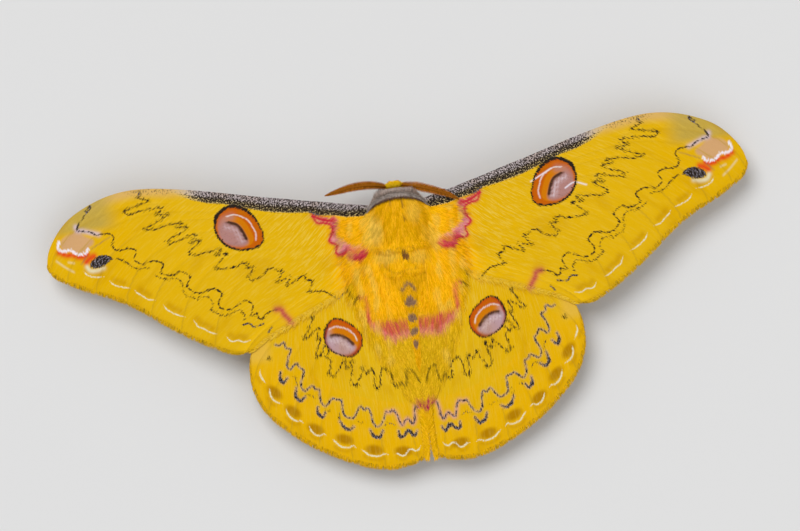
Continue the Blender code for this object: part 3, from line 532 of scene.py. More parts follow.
def spot_radius(centre, axes, tilt, x, y):
    """How far places are from a tilted ellipse's centre, 1 on its outline."""
    turn = math.radians(tilt)
    dx = x - centre[0]
    dy = y - centre[1]
    along = dx * math.cos(turn) + dy * math.sin(turn)
    across = dy * math.cos(turn) - dx * math.sin(turn)
    return np.hypot(along / axes[0], across / axes[1])


def ripple(x, y, size, seed):
    """A smooth random value from about -1 to 1 at places, with features of about a size."""
    pick = np.random.default_rng(seed)
    value = np.zeros(x.shape)
    for k in range(7):
        way, start = pick.uniform(0, 2 * math.pi, 2)
        pitch = 2 * math.pi / (size * (0.7 + 0.25 * k))
        value += np.sin(pitch * (x * math.cos(way) + y * math.sin(way)) + start)
    return value / 2.6


def closed_curve(points):
    """Points on a smooth closed outline through the given ones."""
    wrapped = np.array(points[-3:] + points + points[:4])
    at = np.linspace(3, 3 + len(points), OUTLINE_PLACES, endpoint=False)
    return [tuple(place) for place in smooth_values(at, np.arange(len(wrapped)), wrapped)]


class Paint:
    """Colour and line masks of a set of places; ink is black, chalk white and rust crimson."""

    def __init__(self, x, y, base):
        self.x = x
        self.y = y
        self.tint = plain(base, len(x))
        self.ink = np.full(x.shape, -1.0)
        self.chalk = np.full(x.shape, -1.0)
        self.rust = np.full(x.shape, -1.0)
        self.dust = np.zeros(x.shape)
        self.down = np.ones(x.shape)
        self.fray = np.zeros(x.shape)
        self.gaps = ramp(ripple(x, y, 0.8, 11), -0.6, 0.7)

    def wash(self, colour, share):
        """Lay a colour over what is there, by a share at each place."""
        share = np.clip(share, 0, 1)[:, None]
        self.tint = self.tint * (1 - share) + linear(colour) * share

    def add(self, mask, values):
        """Raise a mask to values where they are higher."""
        target = getattr(self, mask)
        np.maximum(target, values, out=target)

    def line(self, mask, points, half_width, breaks, taper=0.0, dusty=0.0, fray=0.0):
        """Draw a line into a mask; breaks and taper thin it, dusty and fray add specks and strokes."""
        gap, along = line_distance(points, self.x, self.y)
        width = half_width * (1 - breaks * self.gaps)
        if taper:
            length = run_along(points)[-1]
            width = width * np.clip(np.minimum(along, length - along) / taper, 0.25, 1)
        self.add(mask, width - gap)
        if dusty:
            self.add("dust", dusty * bell(gap, 0.34))
        if fray:
            self.add("fray", fray * (0.3 + 0.7 * self.gaps) * bell(gap, 0.36))
            steps = unit(np.diff(np.asarray(points, float), axis=0))
            bends = np.asarray(points)[1:-1][(steps[1:] * steps[:-1]).sum(axis=1) < 0.35]
            for bend in bends:
                room = np.hypot(self.x - bend[0], self.y - bend[1])
                self.add("fray", 1.1 * fray * bell(room, 0.42))

    def gap(self, points):
        """Distance of the places from a line through points."""
        return line_distance(points, self.x, self.y)[0]

    def blur(self, colour, points, reach, strength):
        """Wash a soft line through points."""
        self.wash(colour, strength * bell(self.gap(points), reach))

    def depth(self, outline):
        """How far places are inside a closed outline; negative outside it."""
        ring = closed_curve(outline)
        gap, _ = line_distance(ring + ring[:1], self.x, self.y, smooth=1)
        return np.where(inside(ring, self.x, self.y), gap, -gap)

    def hide_lines(self, where):
        """Take the lines, specks and strokes away at some places."""
        for mask in (self.ink, self.chalk, self.rust):
            mask[where] = -1.0
        self.dust[where] = 0.0
        self.fray[where] = 0.0

    def eyespot(self, spot, rims, pupil_tint, pale, edge, thicker):
        """A ringed spot: red rim, orange inside it, and a pale pupil behind a brown arc."""
        depth = self.depth(spot["outline"])
        within = depth > 0
        self.hide_lines(depth > -0.1)
        self.dust[depth > -0.3] = 0.0
        self.down[depth > -0.25] = 0.0
        if not within.any():
            return
        slant = self.y - self.x
        low = fall(slant, *np.quantile(slant[within], (0.2, 0.8)))
        self.wash(rims[0], ramp(depth, -0.1, 0.05))
        self.wash(rims[1], low * ramp(depth, -0.1, 0.05))
        self.wash(DEEP_ORANGE, ramp(depth, 0.12, 0.45) * (1 - 0.4 * low))
        arc = self.gap(spot["brown"])
        self.wash(ORANGE, within * ramp(depth, 0.25, 0.6) * fall(arc, 0.85, 1.1))
        haze = bell(self.gap(spot["haze"]), 0.55)
        self.wash(pupil_tint, 0.7 * within * ramp(depth, 0.15, 0.45) * haze)
        pupil = self.depth(spot["pupil"])
        self.wash(pupil_tint, ramp(pupil, -0.3, 0.25))
        streaks = 0.6 + 0.4 * ripple(self.x * 0.6 + self.y, self.y - self.x * 2.2, 0.5, 71)
        self.wash(PUPIL_PALE, pale * streaks * ramp(pupil, 0.15, 0.6) * fall(arc, 0.7, 1.5))
        self.fray[pupil > 0] = 0.14
        ends = 0.35 * ripple(self.x, self.y, 0.5, 72) + 0.5
        self.wash(BROWN, (0.4 + ends) * ramp(pupil, -0.1, 0.05) * bell(arc, 0.33))
        self.wash(BROWN, 0.95 * fall(arc, 0.09, 0.24))
        self.line("chalk", spot["white"], 0.035, 0.9)
        white = self.gap(spot["white"]) + 0.03 * ripple(self.x, self.y, 0.25, 73)
        self.wash(WHITE, 0.6 * within * fall(white, 0.03, 0.14))
        high = ramp(self.y, *np.quantile(self.y[within], (0.6, 0.98)))
        self.add("ink", edge + 0.04 * low + thicker * high - np.abs(depth + 0.04))


def paint_forewing(x, y, side):
    """A forewing's colours and lines at places, as on the right one."""
    paint = Paint(x, y, YELLOW)
    paint.wash(GOLD, 0.9 * fall(x, 7, 12))
    paint.wash(PALE_YELLOW, 0.3 * between(x, 12, 20, 34, 38))
    edge = read_line(FORE_COSTA, x) - y
    paint.wash(TAN, ramp(x, 26, 31) * fall(edge, 0.3, 1.7) * fall(x, 40, 43))
    paint.dust = 0.3 * ramp(x, 26, 31) * fall(edge, 0.2, 1.6) * fall(x, 34, 38)
    paint.wash(APEX_GREY, 0.85 * ramp(x, 36.5, 40) * ramp(y, 6.6, 8.0))
    paint.add("dust", 0.1 * ramp(x, 36.5, 40) * ramp(y, 6.6, 8.0))
    # Antemedial band: crimson at its outer edge, fading in to pink
    band = FORE_BAND_OUTER + FORE_BAND_INNER[::-1]
    inner = paint.gap(FORE_BAND_INNER)
    filled = inside(band, x, y)
    paint.wash(PINK, np.where(filled, 1.0, bell(inner, 0.3)))
    paint.wash(CRIMSON, np.where(filled, 0.8, 0.6) * bell(inner, 0.34) * ramp(y, 0.6, 2.0))
    paint.wash(ROSE, np.where(filled, 0.9, 0.0) * fall(x, 6.0, 7.8))
    paint.blur(ROSE, FORE_BAND_ROOT, 0.5, 0.8)
    paint.blur(CRIMSON, FORE_BAND_OUTER, 0.28, 0.9)
    paint.line("rust", FORE_BAND_OUTER, 0.1, 0.4)
    paint.blur(CRIMSON, FORE_BAND_FRONT, 0.4, 0.95)
    paint.line("rust", FORE_BAND_FRONT_LINE, 0.16, 0.3)
    # Costal band: lilac grey scales thick with black ones, sootier towards its lower edge
    over = y - read_line(COSTAL_LOWER, x)
    fade = fall(x, 25, 31)
    deep = over / np.maximum(edge + over, 0.3)
    paint.wash(COSTAL_CREAM, ramp(over, -0.1, 0.2) * fade)
    paint.wash(COSTAL_GREY, ramp(deep, 0.2, 0.6) * ramp(over, -0.1, 0.15) * fade)
    soot = ramp(over, -0.35, 0.3) * fade * (0.5 + 0.2 * fall(deep, 0.3, 0.75))
    paint.down *= 1 - ramp(over, -0.3, 0.0) * fade
    root = ramp(x, 3.6, 4.3)
    paint.add("dust", soot * root)
    paint.wash(COLLAR_GREY, (1 - root) * ramp(over, -0.1, 0.15))
    paint.line("ink", FORE_ZIGZAG, 0.08, 0.7, fray=0.46)
    paint.line("ink", FORE_WAVE, 0.11, 0.5, dusty=0.08, fray=0.26)
    paint.line("ink", FORE_BAND_TIP, 0.1, 0.4, dusty=0.4)
    for points in FORE_DOTS:
        paint.line("ink", points, 0.05, 0.9, dusty=0.1, fray=0.42)
    for points in FORE_DOTS_HEAVY:
        paint.line("ink", points, 0.12, 0.5, dusty=0.26)
    paint.blur(ROSE, FORE_BLUSH, 0.55, 0.45)
    paint.blur(TAIL_ROSE, FORE_BLUSH, 0.34, 0.75)
    for points in FORE_CRESCENTS:
        paint.blur(AMBER, [(px - 0.35, py + 0.5) for px, py in points[1:-1]], 0.45, 0.5)
        paint.line("chalk", points, 0.09, 0.25, 0.6)
    for points in FORE_FAINT:
        paint.blur(CHALK, points, 0.12, 0.6)
    # Apex: a peach patch in lilac and white lines, a red band and a black oval
    apex = paint.depth(APEX_PATCH)
    paint.wash(PEACH, 0.95 * ramp(apex, -0.25, 0.25))
    apex = ramp(apex, -0.4, 0.2)
    paint.down *= 1 - apex
    paint.dust = paint.dust * (1 - apex) + 0.03 * apex
    paint.blur(LILAC_PALE, APEX_LILAC, 0.34, 0.85)
    paint.blur(VERMILION, APEX_RED, 0.4, 1.0)
    paint.blur(VERMILION, APEX_BLUSH, 0.45, 1.0)
    paint.wash(WHITE, fall(paint.gap(APEX_WHITE) + 0.08 * ripple(x, y, 0.22, 51), 0.1, 0.24))
    paint.line("ink", APEX_BLACK, 0.2, 0.5, dusty=0.4)
    for points in APEX_VEINS:
        paint.blur(MAUVE, points, 0.08, 0.6)
    paint.blur(CHALK, APEX_GLEAM, 0.3, 0.95)
    spot = paint.depth(APEX_SPOT)
    paint.add("ink", spot + 0.03)
    paint.add("dust", 0.5 * ramp(spot, -0.3, 0.0))
    # Only the right one's spot is scratched and shines: its paler pupil is painted sheen
    paint.eyespot(FORE_EYESPOT, FORE_RIMS, PUPIL, 0.8 if side > 0 else 0.45, 0.1, 0.14)
    for points in FORE_SCRATCHES if side > 0 else ():
        paint.blur(WHITE, points, 0.1, 0.9)
    # The spot's outline runs up into the sooty half of the costal band
    paint.line("ink", FORE_SPOT_CAP, 0.16, 0.3, fray=0.4)
    return paint


def paint_hindwing(x, y, side):
    """A hindwing's colours and lines at places, as on the right one."""
    x = np.where(side < 0, x + LEFT_SHIFT[0], x)
    y = np.where(side < 0, y + LEFT_SHIFT[1], y)
    paint = Paint(x, y, YELLOW)
    paint.wash(GOLD, 0.9 * fall(x, 4.5, 8.5) * ramp(y, -11.5, -9.0))
    paint.wash(PALE_YELLOW, 0.5 * between(y, -24, -21, -14, -12) * fall(x, 8, 14))
    paint.wash(PALE_YELLOW, 0.7 * ramp(x, 17.5, 20.5) * ramp(y, -15.5, -13.5))
    paint.wash(COSTAL_CREAM, 0.25 * ramp(x, 19.5, 21.0) * ramp(y, -14.8, -13.4))
    paint.add("fray", 0.6 * np.exp(-np.hypot(x - 20.4, y + 13.9) ** 2 / 0.2))
    beyond = paint.gap(HIND_WAVE) * (np.hypot(x, y) > 22.5)
    paint.wash(GOLD, 0.2 * ramp(beyond, 0.3, 1.4))
    # Hairy rose band by the abdomen
    upper = read_line(HIND_BAND_UPPER[::-1], x)
    lower = read_line(HIND_BAND_LOWER[::-1], x)
    rose = ramp(upper - y, -0.7, 0.2) * ramp(y - lower, -0.7, 0.7) * fall(x, 5.6, 6.6)
    streaks = ramp(ripple(x * 3.0, y * 0.3, 0.8, 41), -0.9, 0.6)
    paint.wash(ROSE, 0.9 * rose * (0.55 + 0.45 * streaks))
    paint.wash(PINK, 0.5 * rose * ramp(lower + 1.2 - y, 0.0, 1.2))
    paint.blur(ROSE, HIND_BLUSH, 0.3, 0.85)
    paint.line("ink", HIND_LINE, 0.07, 0.3, dusty=0.2)
    slanted = y - 0.45 * x + 0.25 * ripple(x * 2.0, y * 0.2, 0.8, 44)
    tail = fall(x, 1.4, 1.9) * between(slanted, -23.9, -23.3, -22.5, -21.9)
    paint.wash(TAIL_ROSE, tail * (0.4 + 0.6 * ramp(ripple(x * 3.0, y * 0.5, 0.8, 43), -0.7, 0.3)))
    paint.add("dust", 0.2 * tail)
    paint.blur(PINK, HIND_WAVE[-12:], 0.35, 0.5)
    paint.blur(LILAC, HIND_WAVE, 0.17, 0.4)
    paint.line("ink", HIND_ZIGZAG, 0.08, 0.7, fray=0.5)
    paint.line("ink", HIND_WAVE, 0.12, 0.5, dusty=0.2, fray=0.26)
    for points in HIND_HEAVY:
        paint.blur(LILAC, points, 0.2, 0.5)
        paint.line("ink", points, 0.24, 0.35, 0.8, dusty=0.42)
    for points in HIND_DOTS:
        paint.line("ink", points, 0.04, 0.9, dusty=0.14, fray=0.36)
    for centre in HIND_AMBER:
        across_ray = math.degrees(math.atan2(centre[1], centre[0])) + 90
        radius = spot_radius(centre, HIND_AMBER_SIZE, across_ray, x, y)
        paint.wash(AMBER_DEEP, 0.85 * fall(radius, 0.5, 1.3))
        paint.add("dust", 0.06 * (radius < 1))
    for points in HIND_CRESCENTS:
        middle = np.mean(points, axis=0)
        out = middle / np.linalg.norm(middle) * 0.5
        paint.blur(AMBER, [(px + out[0], py + out[1]) for px, py in points[1:-1]], 0.25, 0.45)
        paint.line("chalk", points, 0.11, 0.2, 0.5)
    paint.eyespot(HIND_EYESPOT, HIND_RIMS, HIND_PUPIL, 0.8, 0.06, 0.06)
    return paint


def wing_surface(edges):
    """A function from shares along and across a wing to places seen from above."""
    dense = np.linspace(0, 1, 400)
    lines = [curve_points(line, dense) for line in edges]
    corners = [lines[0][0], lines[0][-1], lines[1][0], lines[1][-1]]

    def read(line, share):
        return np.stack([np.interp(share, dense, line[:, k]) for k in range(2)], axis=-1)

    def place(s, t):
        a = s[:, None]
        b = t[:, None]
        flat = (1 - b) * read(lines[0], s) + b * read(lines[1], s)
        flat += (1 - a) * read(lines[2], t) + a * read(lines[3], t)
        flat -= (1 - a) * (1 - b) * corners[0] + a * (1 - b) * corners[1]
        return flat - (1 - a) * b * corners[2] - a * b * corners[3]

    return place


def wing_lengths(place):
    """How long a wing is along each of its lines, and how wide across them, as tables."""
    shares = np.linspace(0, 1, 60)
    s, t = np.meshgrid(shares, shares, indexing="ij")
    flat = place(s.ravel(), t.ravel()).reshape(60, 60, 2)
    long = np.linalg.norm(np.diff(flat, axis=0), axis=2).sum(axis=0)
    wide = np.linalg.norm(np.diff(flat, axis=1), axis=2).sum(axis=1)
    return shares, long, wide


def wing_map(x, y):
    """Where a wing's places lie on its baking map, which is its own plan."""
    return stack(np.abs(x), y + MAP_REAR) / MAP_SPAN


def wing_patch(edges, veins):
    """A grid over a wing short of its fringes: places, share along, veins, sag, room to the rear."""
    place = wing_surface(edges)
    shares, long, wide = wing_lengths(place)
    rows = 2 * int(long.max() / WING_STEP / 2) + 1
    columns = 2 * int(wide.max() / WING_STEP / 2) + 1
    t = np.linspace(COSTA_INSET / wide.max(), 1 - INNER_FRINGE / wide.max(), columns)
    reach = 1 - MARGIN_FRINGE / np.interp(t, shares, long)
    s = np.linspace(0, 1, rows)[:, None] * reach[None, :]
    across = np.broadcast_to(t, s.shape)
    flat = place(s.ravel(), across.ravel()).reshape(rows, columns, 2)
    span = np.maximum(np.interp(s, shares, wide), 4.0)
    relief = np.zeros(s.shape)
    valley = np.full(s.shape, 9.0)
    for start, middle, end, branch in veins:
        at = smooth_values(s.ravel(), (0.0, CELL_END, 1.0), [[start], [middle], [end]]).reshape(s.shape)
        rise = ramp(s, branch - 0.01, branch + 0.08) if branch else np.ones(s.shape)
        gap = np.abs(across - at) * span
        relief += rise * bell(gap, VEIN_HALF_WIDTH)
        valley = np.minimum(valley, gap + 3 * (1 - rise))
    return flat, s, relief, np.clip(valley / 1.2, 0, 1), (1 - across) * span


def add_mesh(name, places, faces, material, colour=None, floats=(), flow=None, baking=None, smooth=True):
    """A mesh object from arrays of places in mm and of faces with one length of corner list."""
    places = (np.asarray(places) + ORIGIN) * MM
    faces = np.asarray(faces)
    mesh = bpy.data.meshes.new(name)
    mesh.vertices.add(len(places))
    mesh.vertices.foreach_set("co", places.astype(np.float32).ravel())
    corners = faces.shape[1]
    mesh.loops.add(faces.size)
    mesh.loops.foreach_set("vertex_index", faces.astype(np.int32).ravel())
    mesh.polygons.add(len(faces))
    mesh.polygons.foreach_set("loop_start", np.arange(0, faces.size, corners, dtype=np.int32))
    mesh.update(calc_edges=True)
    mesh.validate()
    if smooth:
        mesh.shade_smooth()
    else:
        mesh.shade_flat()
    if colour is not None:
        tint = mesh.attributes.new("tint", "FLOAT_COLOR", "POINT")
        rgba = np.ones((len(places), 4), np.float32)
        rgba[:, :3] = colour
        tint.data.foreach_set("color", rgba.ravel())
    for label, values in floats:
        layer = mesh.attributes.new(label, "FLOAT", "POINT")
        layer.data.foreach_set("value", values.astype(np.float32))
    if flow is not None:
        layer = mesh.attributes.new("flow", "FLOAT_VECTOR", "POINT")
        layer.data.foreach_set("vector", flow.astype(np.float32).ravel())
    if baking is not None:
        layer = mesh.uv_layers.new(name="OFBake")
        layer.uv.foreach_set("vector", baking[faces.ravel()].astype(np.float32).ravel())
    mesh.materials.append(material)
    thing = bpy.data.objects.new(name, mesh)
    bpy.context.scene.collection.objects.link(thing)
    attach(thing, "root")
    return thing


class Shader:
    """A small helper that builds a Principled material's nodes."""

    def __init__(self, name, roughness, specular):
        self.material = bpy.data.materials.new(name)
        self.material.use_nodes = True
        self.tree = self.material.node_tree
        self.surface = self.tree.nodes["Principled BSDF"]
        self.surface.inputs["Roughness"].default_value = roughness
        self.surface.inputs["Specular IOR Level"].default_value = specular

    def put(self, kind, inputs=(), **settings):
        node = self.tree.nodes.new(kind)
        for key, value in settings.items():
            setattr(node, key, value)
        for key, value in dict(inputs).items():
            if isinstance(value, bpy.types.NodeSocket):
                self.tree.links.new(value, node.inputs[key])
            else:
                node.inputs[key].default_value = value
        return node

    def attribute(self, name, output="Fac"):
        return self.put("ShaderNodeAttribute", attribute_name=name).outputs[output]

    def maths(self, operation, *values):
        return self.put("ShaderNodeMath", dict(enumerate(values)), operation=operation).outputs[0]

    def noise(self, vector, pitch, detail, roughness):
        """Noise with its own pitch along each axis of a vector."""
        place = self.put("ShaderNodeMapping", {"Vector": vector, "Scale": pitch}).outputs["Vector"]
        node = self.put("ShaderNodeTexNoise", {"Vector": place, "Scale": 1.0, "Detail": detail,
                                               "Roughness": roughness})
        return node.outputs["Fac"]

    def remap(self, value, low, high, start=0.0, end=1.0):
        node = self.put("ShaderNodeMapRange", {"Value": value, "From Min": low, "From Max": high,
                                               "To Min": start, "To Max": end},
                        interpolation_type="SMOOTHSTEP")
        return node.outputs["Result"]

    def mix(self, share, first, second):
        node = self.tree.nodes.new("ShaderNodeMix")
        node.data_type = "RGBA"
        for index, value in ((0, share), (6, first), (7, second)):
            if isinstance(value, bpy.types.NodeSocket):
                self.tree.links.new(value, node.inputs[index])
            elif index == 0:
                node.inputs[index].default_value = value
            else:
                node.inputs[index].default_value = (*linear(value), 1.0)
        return node.outputs[2]

    def finish(self, colour, height=None, strength=0.0):
        self.tree.links.new(colour, self.surface.inputs["Base Color"])
        if height is not None:
            bump = self.put("ShaderNodeBump", {"Height": height, "Strength": strength,
                                               "Distance": BUMP_DISTANCE})
            self.tree.links.new(bump.outputs["Normal"], self.surface.inputs["Normal"])
        return self.material


def wing_material():
    """Scaled wing: fibrous yellow with dusty black, white and crimson lines."""
    shader = Shader("wing_scales", 0.85, 0.02)
    flow = shader.attribute("flow", "Vector")
    fibre = shader.noise(flow, (0.3, 4.2, 1.0), 3.0, 0.7)
    scales = shader.noise(flow, (3.6, 6.0, 1.0), 3.0, 0.8)
    strokes = shader.noise(flow, (1.0, 7.5, 1.0), 2.0, 0.7)
    broad = shader.noise(flow, (0.10, 0.35, 1.0), 2.0, 0.5)
    speck = shader.noise(flow, (4.0, 5.4, 1.0), 2.0, 0.7)
    colour = shader.attribute("tint", "Color")
    downy = shader.maths("MULTIPLY", shader.remap(fibre, 0.46, 0.68, 0.0, 0.85), shader.attribute("down"))
    colour = shader.mix(downy, colour, STRAW)
    colour = shader.mix(shader.remap(scales, 0.52, 0.75, 0.0, 0.25), colour, PALE_YELLOW)
    colour = shader.mix(shader.remap(scales, 0.28, 0.48, 0.25, 0.0), colour, AMBER)
    colour = shader.mix(shader.remap(broad, 0.3, 0.48, 0.22, 0.0), colour, AMBER)
    vein = shader.maths("MULTIPLY", shader.attribute("vein"), shader.remap(fibre, 0.35, 0.55, 0.3, 0.6))
    colour = shader.mix(vein, colour, OLIVE)
    dust = shader.attribute("dust")
    soot = shader.remap(shader.maths("ADD", shader.maths("MULTIPLY", dust, 0.42), speck), 0.67, 0.73)
    soot = shader.maths("MULTIPLY", soot, shader.remap(dust, 0.0, 0.35))
    colour = shader.mix(soot, colour, SOOT)
    fray = shader.attribute("fray")
    frayed = shader.remap(shader.maths("ADD", shader.maths("MULTIPLY", fray, 0.42), strokes), 0.66, 0.72)
    colour = shader.mix(shader.maths("MULTIPLY", frayed, shader.remap(fray, 0.0, 0.3)), colour, LINE_OLIVE)
    grain = shader.maths("SUBTRACT", scales, 0.5)
    ragged = shader.maths("SUBTRACT", strokes, 0.5)
    bluish = shader.remap(speck, 0.55, 0.59, 0.0, 0.75)
    bluish = shader.maths("MULTIPLY", bluish, shader.remap(dust, 0.08, 0.18))
    ink = shader.mix(bluish, SOOT, INK_BLUE)
    lines = (("rust", CRIMSON, 0.1, grain, 0.5), ("ink", ink, 0.05, ragged, 0.9),
             ("chalk", CHALK, 0.05, grain, 0.5))
    for mask, paint, soft, rough, amount in lines:
        edge = shader.maths("ADD", shader.attribute(mask), shader.maths("MULTIPLY", rough, amount))
        colour = shader.mix(shader.remap(edge, -soft, soft), colour, paint)
    return shader.finish(colour, shader.maths("ADD", fibre, scales), 0.4)


def coat_material():
    """Hair in its root's colour, each one a little lighter or darker, darker towards its root."""
    shader = Shader("coat", 0.8, 0.0)
    shader.surface.inputs["Sheen Weight"].default_value = 0.15
    shader.surface.inputs["Sheen Roughness"].default_value = 0.4
    shader.surface.inputs["Sheen Tint"].default_value = (1.0, 0.7, 0.1, 1.0)
    shade = shader.attribute("shade")
    value = shader.maths("MULTIPLY", shader.remap(shade, 0.0, 1.0, 0.81, 1.19),
                         shader.remap(shader.attribute("along"), 0.0, 0.5, 0.88, 1.04))
    colour = shader.put("ShaderNodeHueSaturation", {
        "Color": shader.attribute("tint", "Color"), "Value": value,
        "Saturation": shader.remap(shade, 0.4, 1.0, 1.0, 0.985)})
    return shader.finish(colour.outputs["Color"])


WING_SCALES = wing_material()
COAT = coat_material()


def triangles(grid):
    """Two triangles for each square of a grid of vertex numbers."""
    a, b, c, d = grid[:-1, :-1], grid[1:, :-1], grid[1:, 1:], grid[:-1, 1:]
    return np.concatenate([stack(*part).reshape(-1, 3) for part in ((a, b, c), (a, c, d))])


def edge_loop(grid):
    """The vertex numbers round a grid's edge."""
    return np.concatenate([grid[0, :-1], grid[:-1, -1], grid[-1, :0:-1], grid[:0:-1, 0]])


# Each wing's edges, veins, painter and how far it lies below the forewing
WINGS = {"fore": (fore_edges(), FORE_VEINS, paint_forewing, 0.0),
         "hind": (hind_edges(), HIND_VEINS, paint_hindwing, HINDWING_BELOW)}


def make_wing(kind, side, word):
    """One wing as a thin closed sheet, painted on both faces."""
    edges, veins, paint_wing, below = WINGS[kind]
    flat, s, relief, sag, past = wing_patch(edges, veins)
    rows, columns = relief.shape
    x = flat[..., 0].ravel()
    y = flat[..., 1].ravel()
    paint = paint_wing(x, y, side)
    if kind == "fore" and side < 0:
        x, y = swept(x, y)
    grid = np.arange(rows * columns).reshape(rows, columns)
    row, column = np.divmod(np.arange(grid.size), columns)
    border = np.minimum(np.minimum(column, columns - 1 - column), rows - 1 - row)
    thick = half_thickness(border * WING_STEP)
    s, relief, sag, past = (table.ravel() for table in (s, relief, sag, past))
    lift = (VEIN_RISE * relief - PLEAT_SAG * sag) * (0.4 + 0.6 * ramp(s, 0.4, 0.8))
    middle = wing_height(x, y) - below
    if kind == "fore":
        middle = middle - rear_droop(past)
    top = stack(side * x, y, middle + thick + lift)
    bottom = stack(side * x, y, middle - thick + lift * 0.3)
    pick = grid[::2, ::2]
    under = rows * columns + np.arange(pick.size).reshape(pick.shape)
    pick = pick.ravel()
    loop = edge_loop(grid)
    low = edge_loop(under)
    after = np.roll(loop, -2)[::2]
    low_after = np.roll(low, -1)
    rim = [(loop[::2], loop[1::2], low), (loop[1::2], low_after, low), (loop[1::2], after, low_after)]
    faces = np.concatenate([triangles(grid), triangles(under)[:, ::-1]] + [stack(*part) for part in rim])
    if side > 0:
        faces = faces[:, ::-1]
    flow = stack(s * FLOW_LENGTH, past, np.zeros(rows * columns))
    down = (1 - 0.55 * ramp(s, 0.15, 0.5) - 0.25 * ramp(s, 0.5, 0.85)) * paint.down
    vein = ramp(relief, 0.7, 0.95) * ramp(s, 0.72, 0.9)
    if kind == "fore":
        # Painted light: lighter where the rear edge bends down, against the shade on its slope
        paint.tint *= 1 + 0.14 * np.sin(math.pi * np.clip(past / REAR_DROOP_REACH, 0, 1))[:, None]
    uv = wing_map(x, y)

    def both(values, change=0.0):
        return np.concatenate([values, values[pick] + change])

    masks = [(mask, both(getattr(paint, mask), UNDERSIDE_WIDER)) for mask in ("ink", "chalk", "rust")]
    masks += [("dust", both(paint.dust)), ("down", both(down)), ("vein", both(vein))]
    masks += [("fray", both(paint.fray))]
    wing = add_mesh(
        f"{kind}wing_skin_{word}", np.concatenate([top, bottom[pick]]), faces, WING_SCALES,
        colour=np.concatenate([paint.tint, paint.tint[pick] * UNDERSIDE_SHADE]), floats=masks,
        flow=both(flow), baking=np.concatenate([uv * 0.49, uv[pick] * 0.49 + 0.5]))
    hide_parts(f"{kind}wing_{word}")


# Lie of the coat on the right half, seen from above: place, degrees out from straight back, length
LIE = np.array([
    (0.0, 5.0, 0, 1.8), (2.0, 4.5, 25, 1.8), (3.8, 4.0, 50, 1.8), (0.0, 2.0, 0, 2.0), (2.2, 2.6, 30, 2.0),
    (4.2, 2.0, 55, 2.2), (6.5, 3.0, 76, 1.8), (8.0, 2.0, 72, 1.4), (4.8, 0.0, 50, 2.4),
    (6.5, -0.5, 62, 2.0), (0.0, -1.0, 0, 1.8), (2.5, -1.0, 14, 2.2), (4.0, -2.0, 26, 2.6),
    (5.5, -3.0, 45, 2.6), (0.0, -4.0, 0, 1.0), (2.5, -4.0, 2, 2.8), (4.5, -5.0, 10, 3.0),
    (7.0, -6.0, 34, 2.4), (0.0, -8.0, 0, 0.7), (1.7, -8.0, -16, 2.2), (3.5, -8.0, -8, 3.0),
    (5.8, -8.5, 4, 2.8), (0.0, -12.0, 0, 0.7), (1.3, -12.0, -20, 1.9), (3.0, -12.0, -12, 2.8),
    (5.0, -12.0, -4, 2.6), (0.0, -16.0, 0, 0.8), (1.2, -16.0, -24, 1.9), (3.2, -17.0, -12, 2.3),
    (0.7, -19.0, -28, 2.0), (2.4, -20.0, -14, 1.8), (0.7, -23.0, -34, 1.6), (0.7, -27.0, -32, 1.4),
    (0.7, -31.0, -26, 1.0)])
LIE_REACH = 1.1 * math.sqrt(2)
COAT_EDGE = np.array([
    (-30.3, 0.55), (-26.0, 0.8), (-23.0, 1.3), (-21.0, 2.4), (-18.0, 4.0), (-15.0, 5.2), (-12.0, 6.4),
    (-8.0, 7.0), (-5.0, 7.6), (-2.0, 7.4), (0.0, 7.4), (2.0, 8.3), (3.3, 7.5), (3.6, 4.4), (5.4, 3.9)])
FUR_FRONT = np.array([
    (0.0, 5.3), (1.0, 5.25), (2.0, 5.05), (3.0, 4.65), (3.7, 4.05), (4.05, 3.4), (5.0, 3.3)])
SHEET_STEP = 0.1
SHEET_BLUR = 0.42
SHEET_X = np.arange(-13.0, 13.0, SHEET_STEP)
SHEET_Y = np.arange(-32.5, 8.0, SHEET_STEP)
# Pieces of the coat seen from above: name, span along the body, number of hairs
DORSAL_COATS = [("coat_front", (1.0, 5.4), 11500), ("coat_waist", (-3.6, 1.0), 11500),
                ("coat_middle", (-9.0, -3.6), 11500), ("coat_rear", (-19.0, -9.0), 11500),
                ("coat_tail", (-30.3, -19.0), 4500)]
# A hair's four places: how far along it they are, then its width at the first three
HAIR_RUN = np.array([0.0, 0.3, 0.66, 1.0])
HAIR_TAPER = np.array([0.8, 1.0, 0.7])
# Bends of short hairs: how far along their lie and how far out each of the four places is
COLLAR_BENDS = ((0.0, -0.4), (0.15, 0.1), (0.5, 0.45), (1.0, 0.75))
LIMB_BENDS = ((0.0, -0.05), (0.35, 0.14), (0.7, 0.2), (1.0, 0.18))
CHEST_BENDS = ((0.0, -0.2), (0.35, 0.15), (0.7, 0.15), (1.0, 0.0))
HEAD_BENDS = ((0.0, -0.1), (0.35, 0.2), (0.7, 0.25), (1.0, 0.15))
RIDGE = 0.3            # how far a hair's middle stands over its edges, to its half width
TUFT_PATCH = 0.003     # size of a hair's patch on the baking map
COAT_TOP = 9.6
DORSAL_MARKS = [
    ((0.22, -2.3), (0.45, 0.8), 25, MARK_AND_SHADOW_BROWN, 0.95), ((0.05, -8.75), (0.95, 0.5), 0, MAUVE, 0.95),
    ((0.0, -8.3), (0.5, 0.5), 0, MAUVE, 0.9), ((0.0, -10.85), (0.75, 0.62), 0, MAUVE, 0.95),
    ((0.0, -12.75), (0.74, 0.5), 15, MAUVE, 0.95), ((0.0, -14.5), (0.42, 0.58), 0, MAUVE, 0.95)]
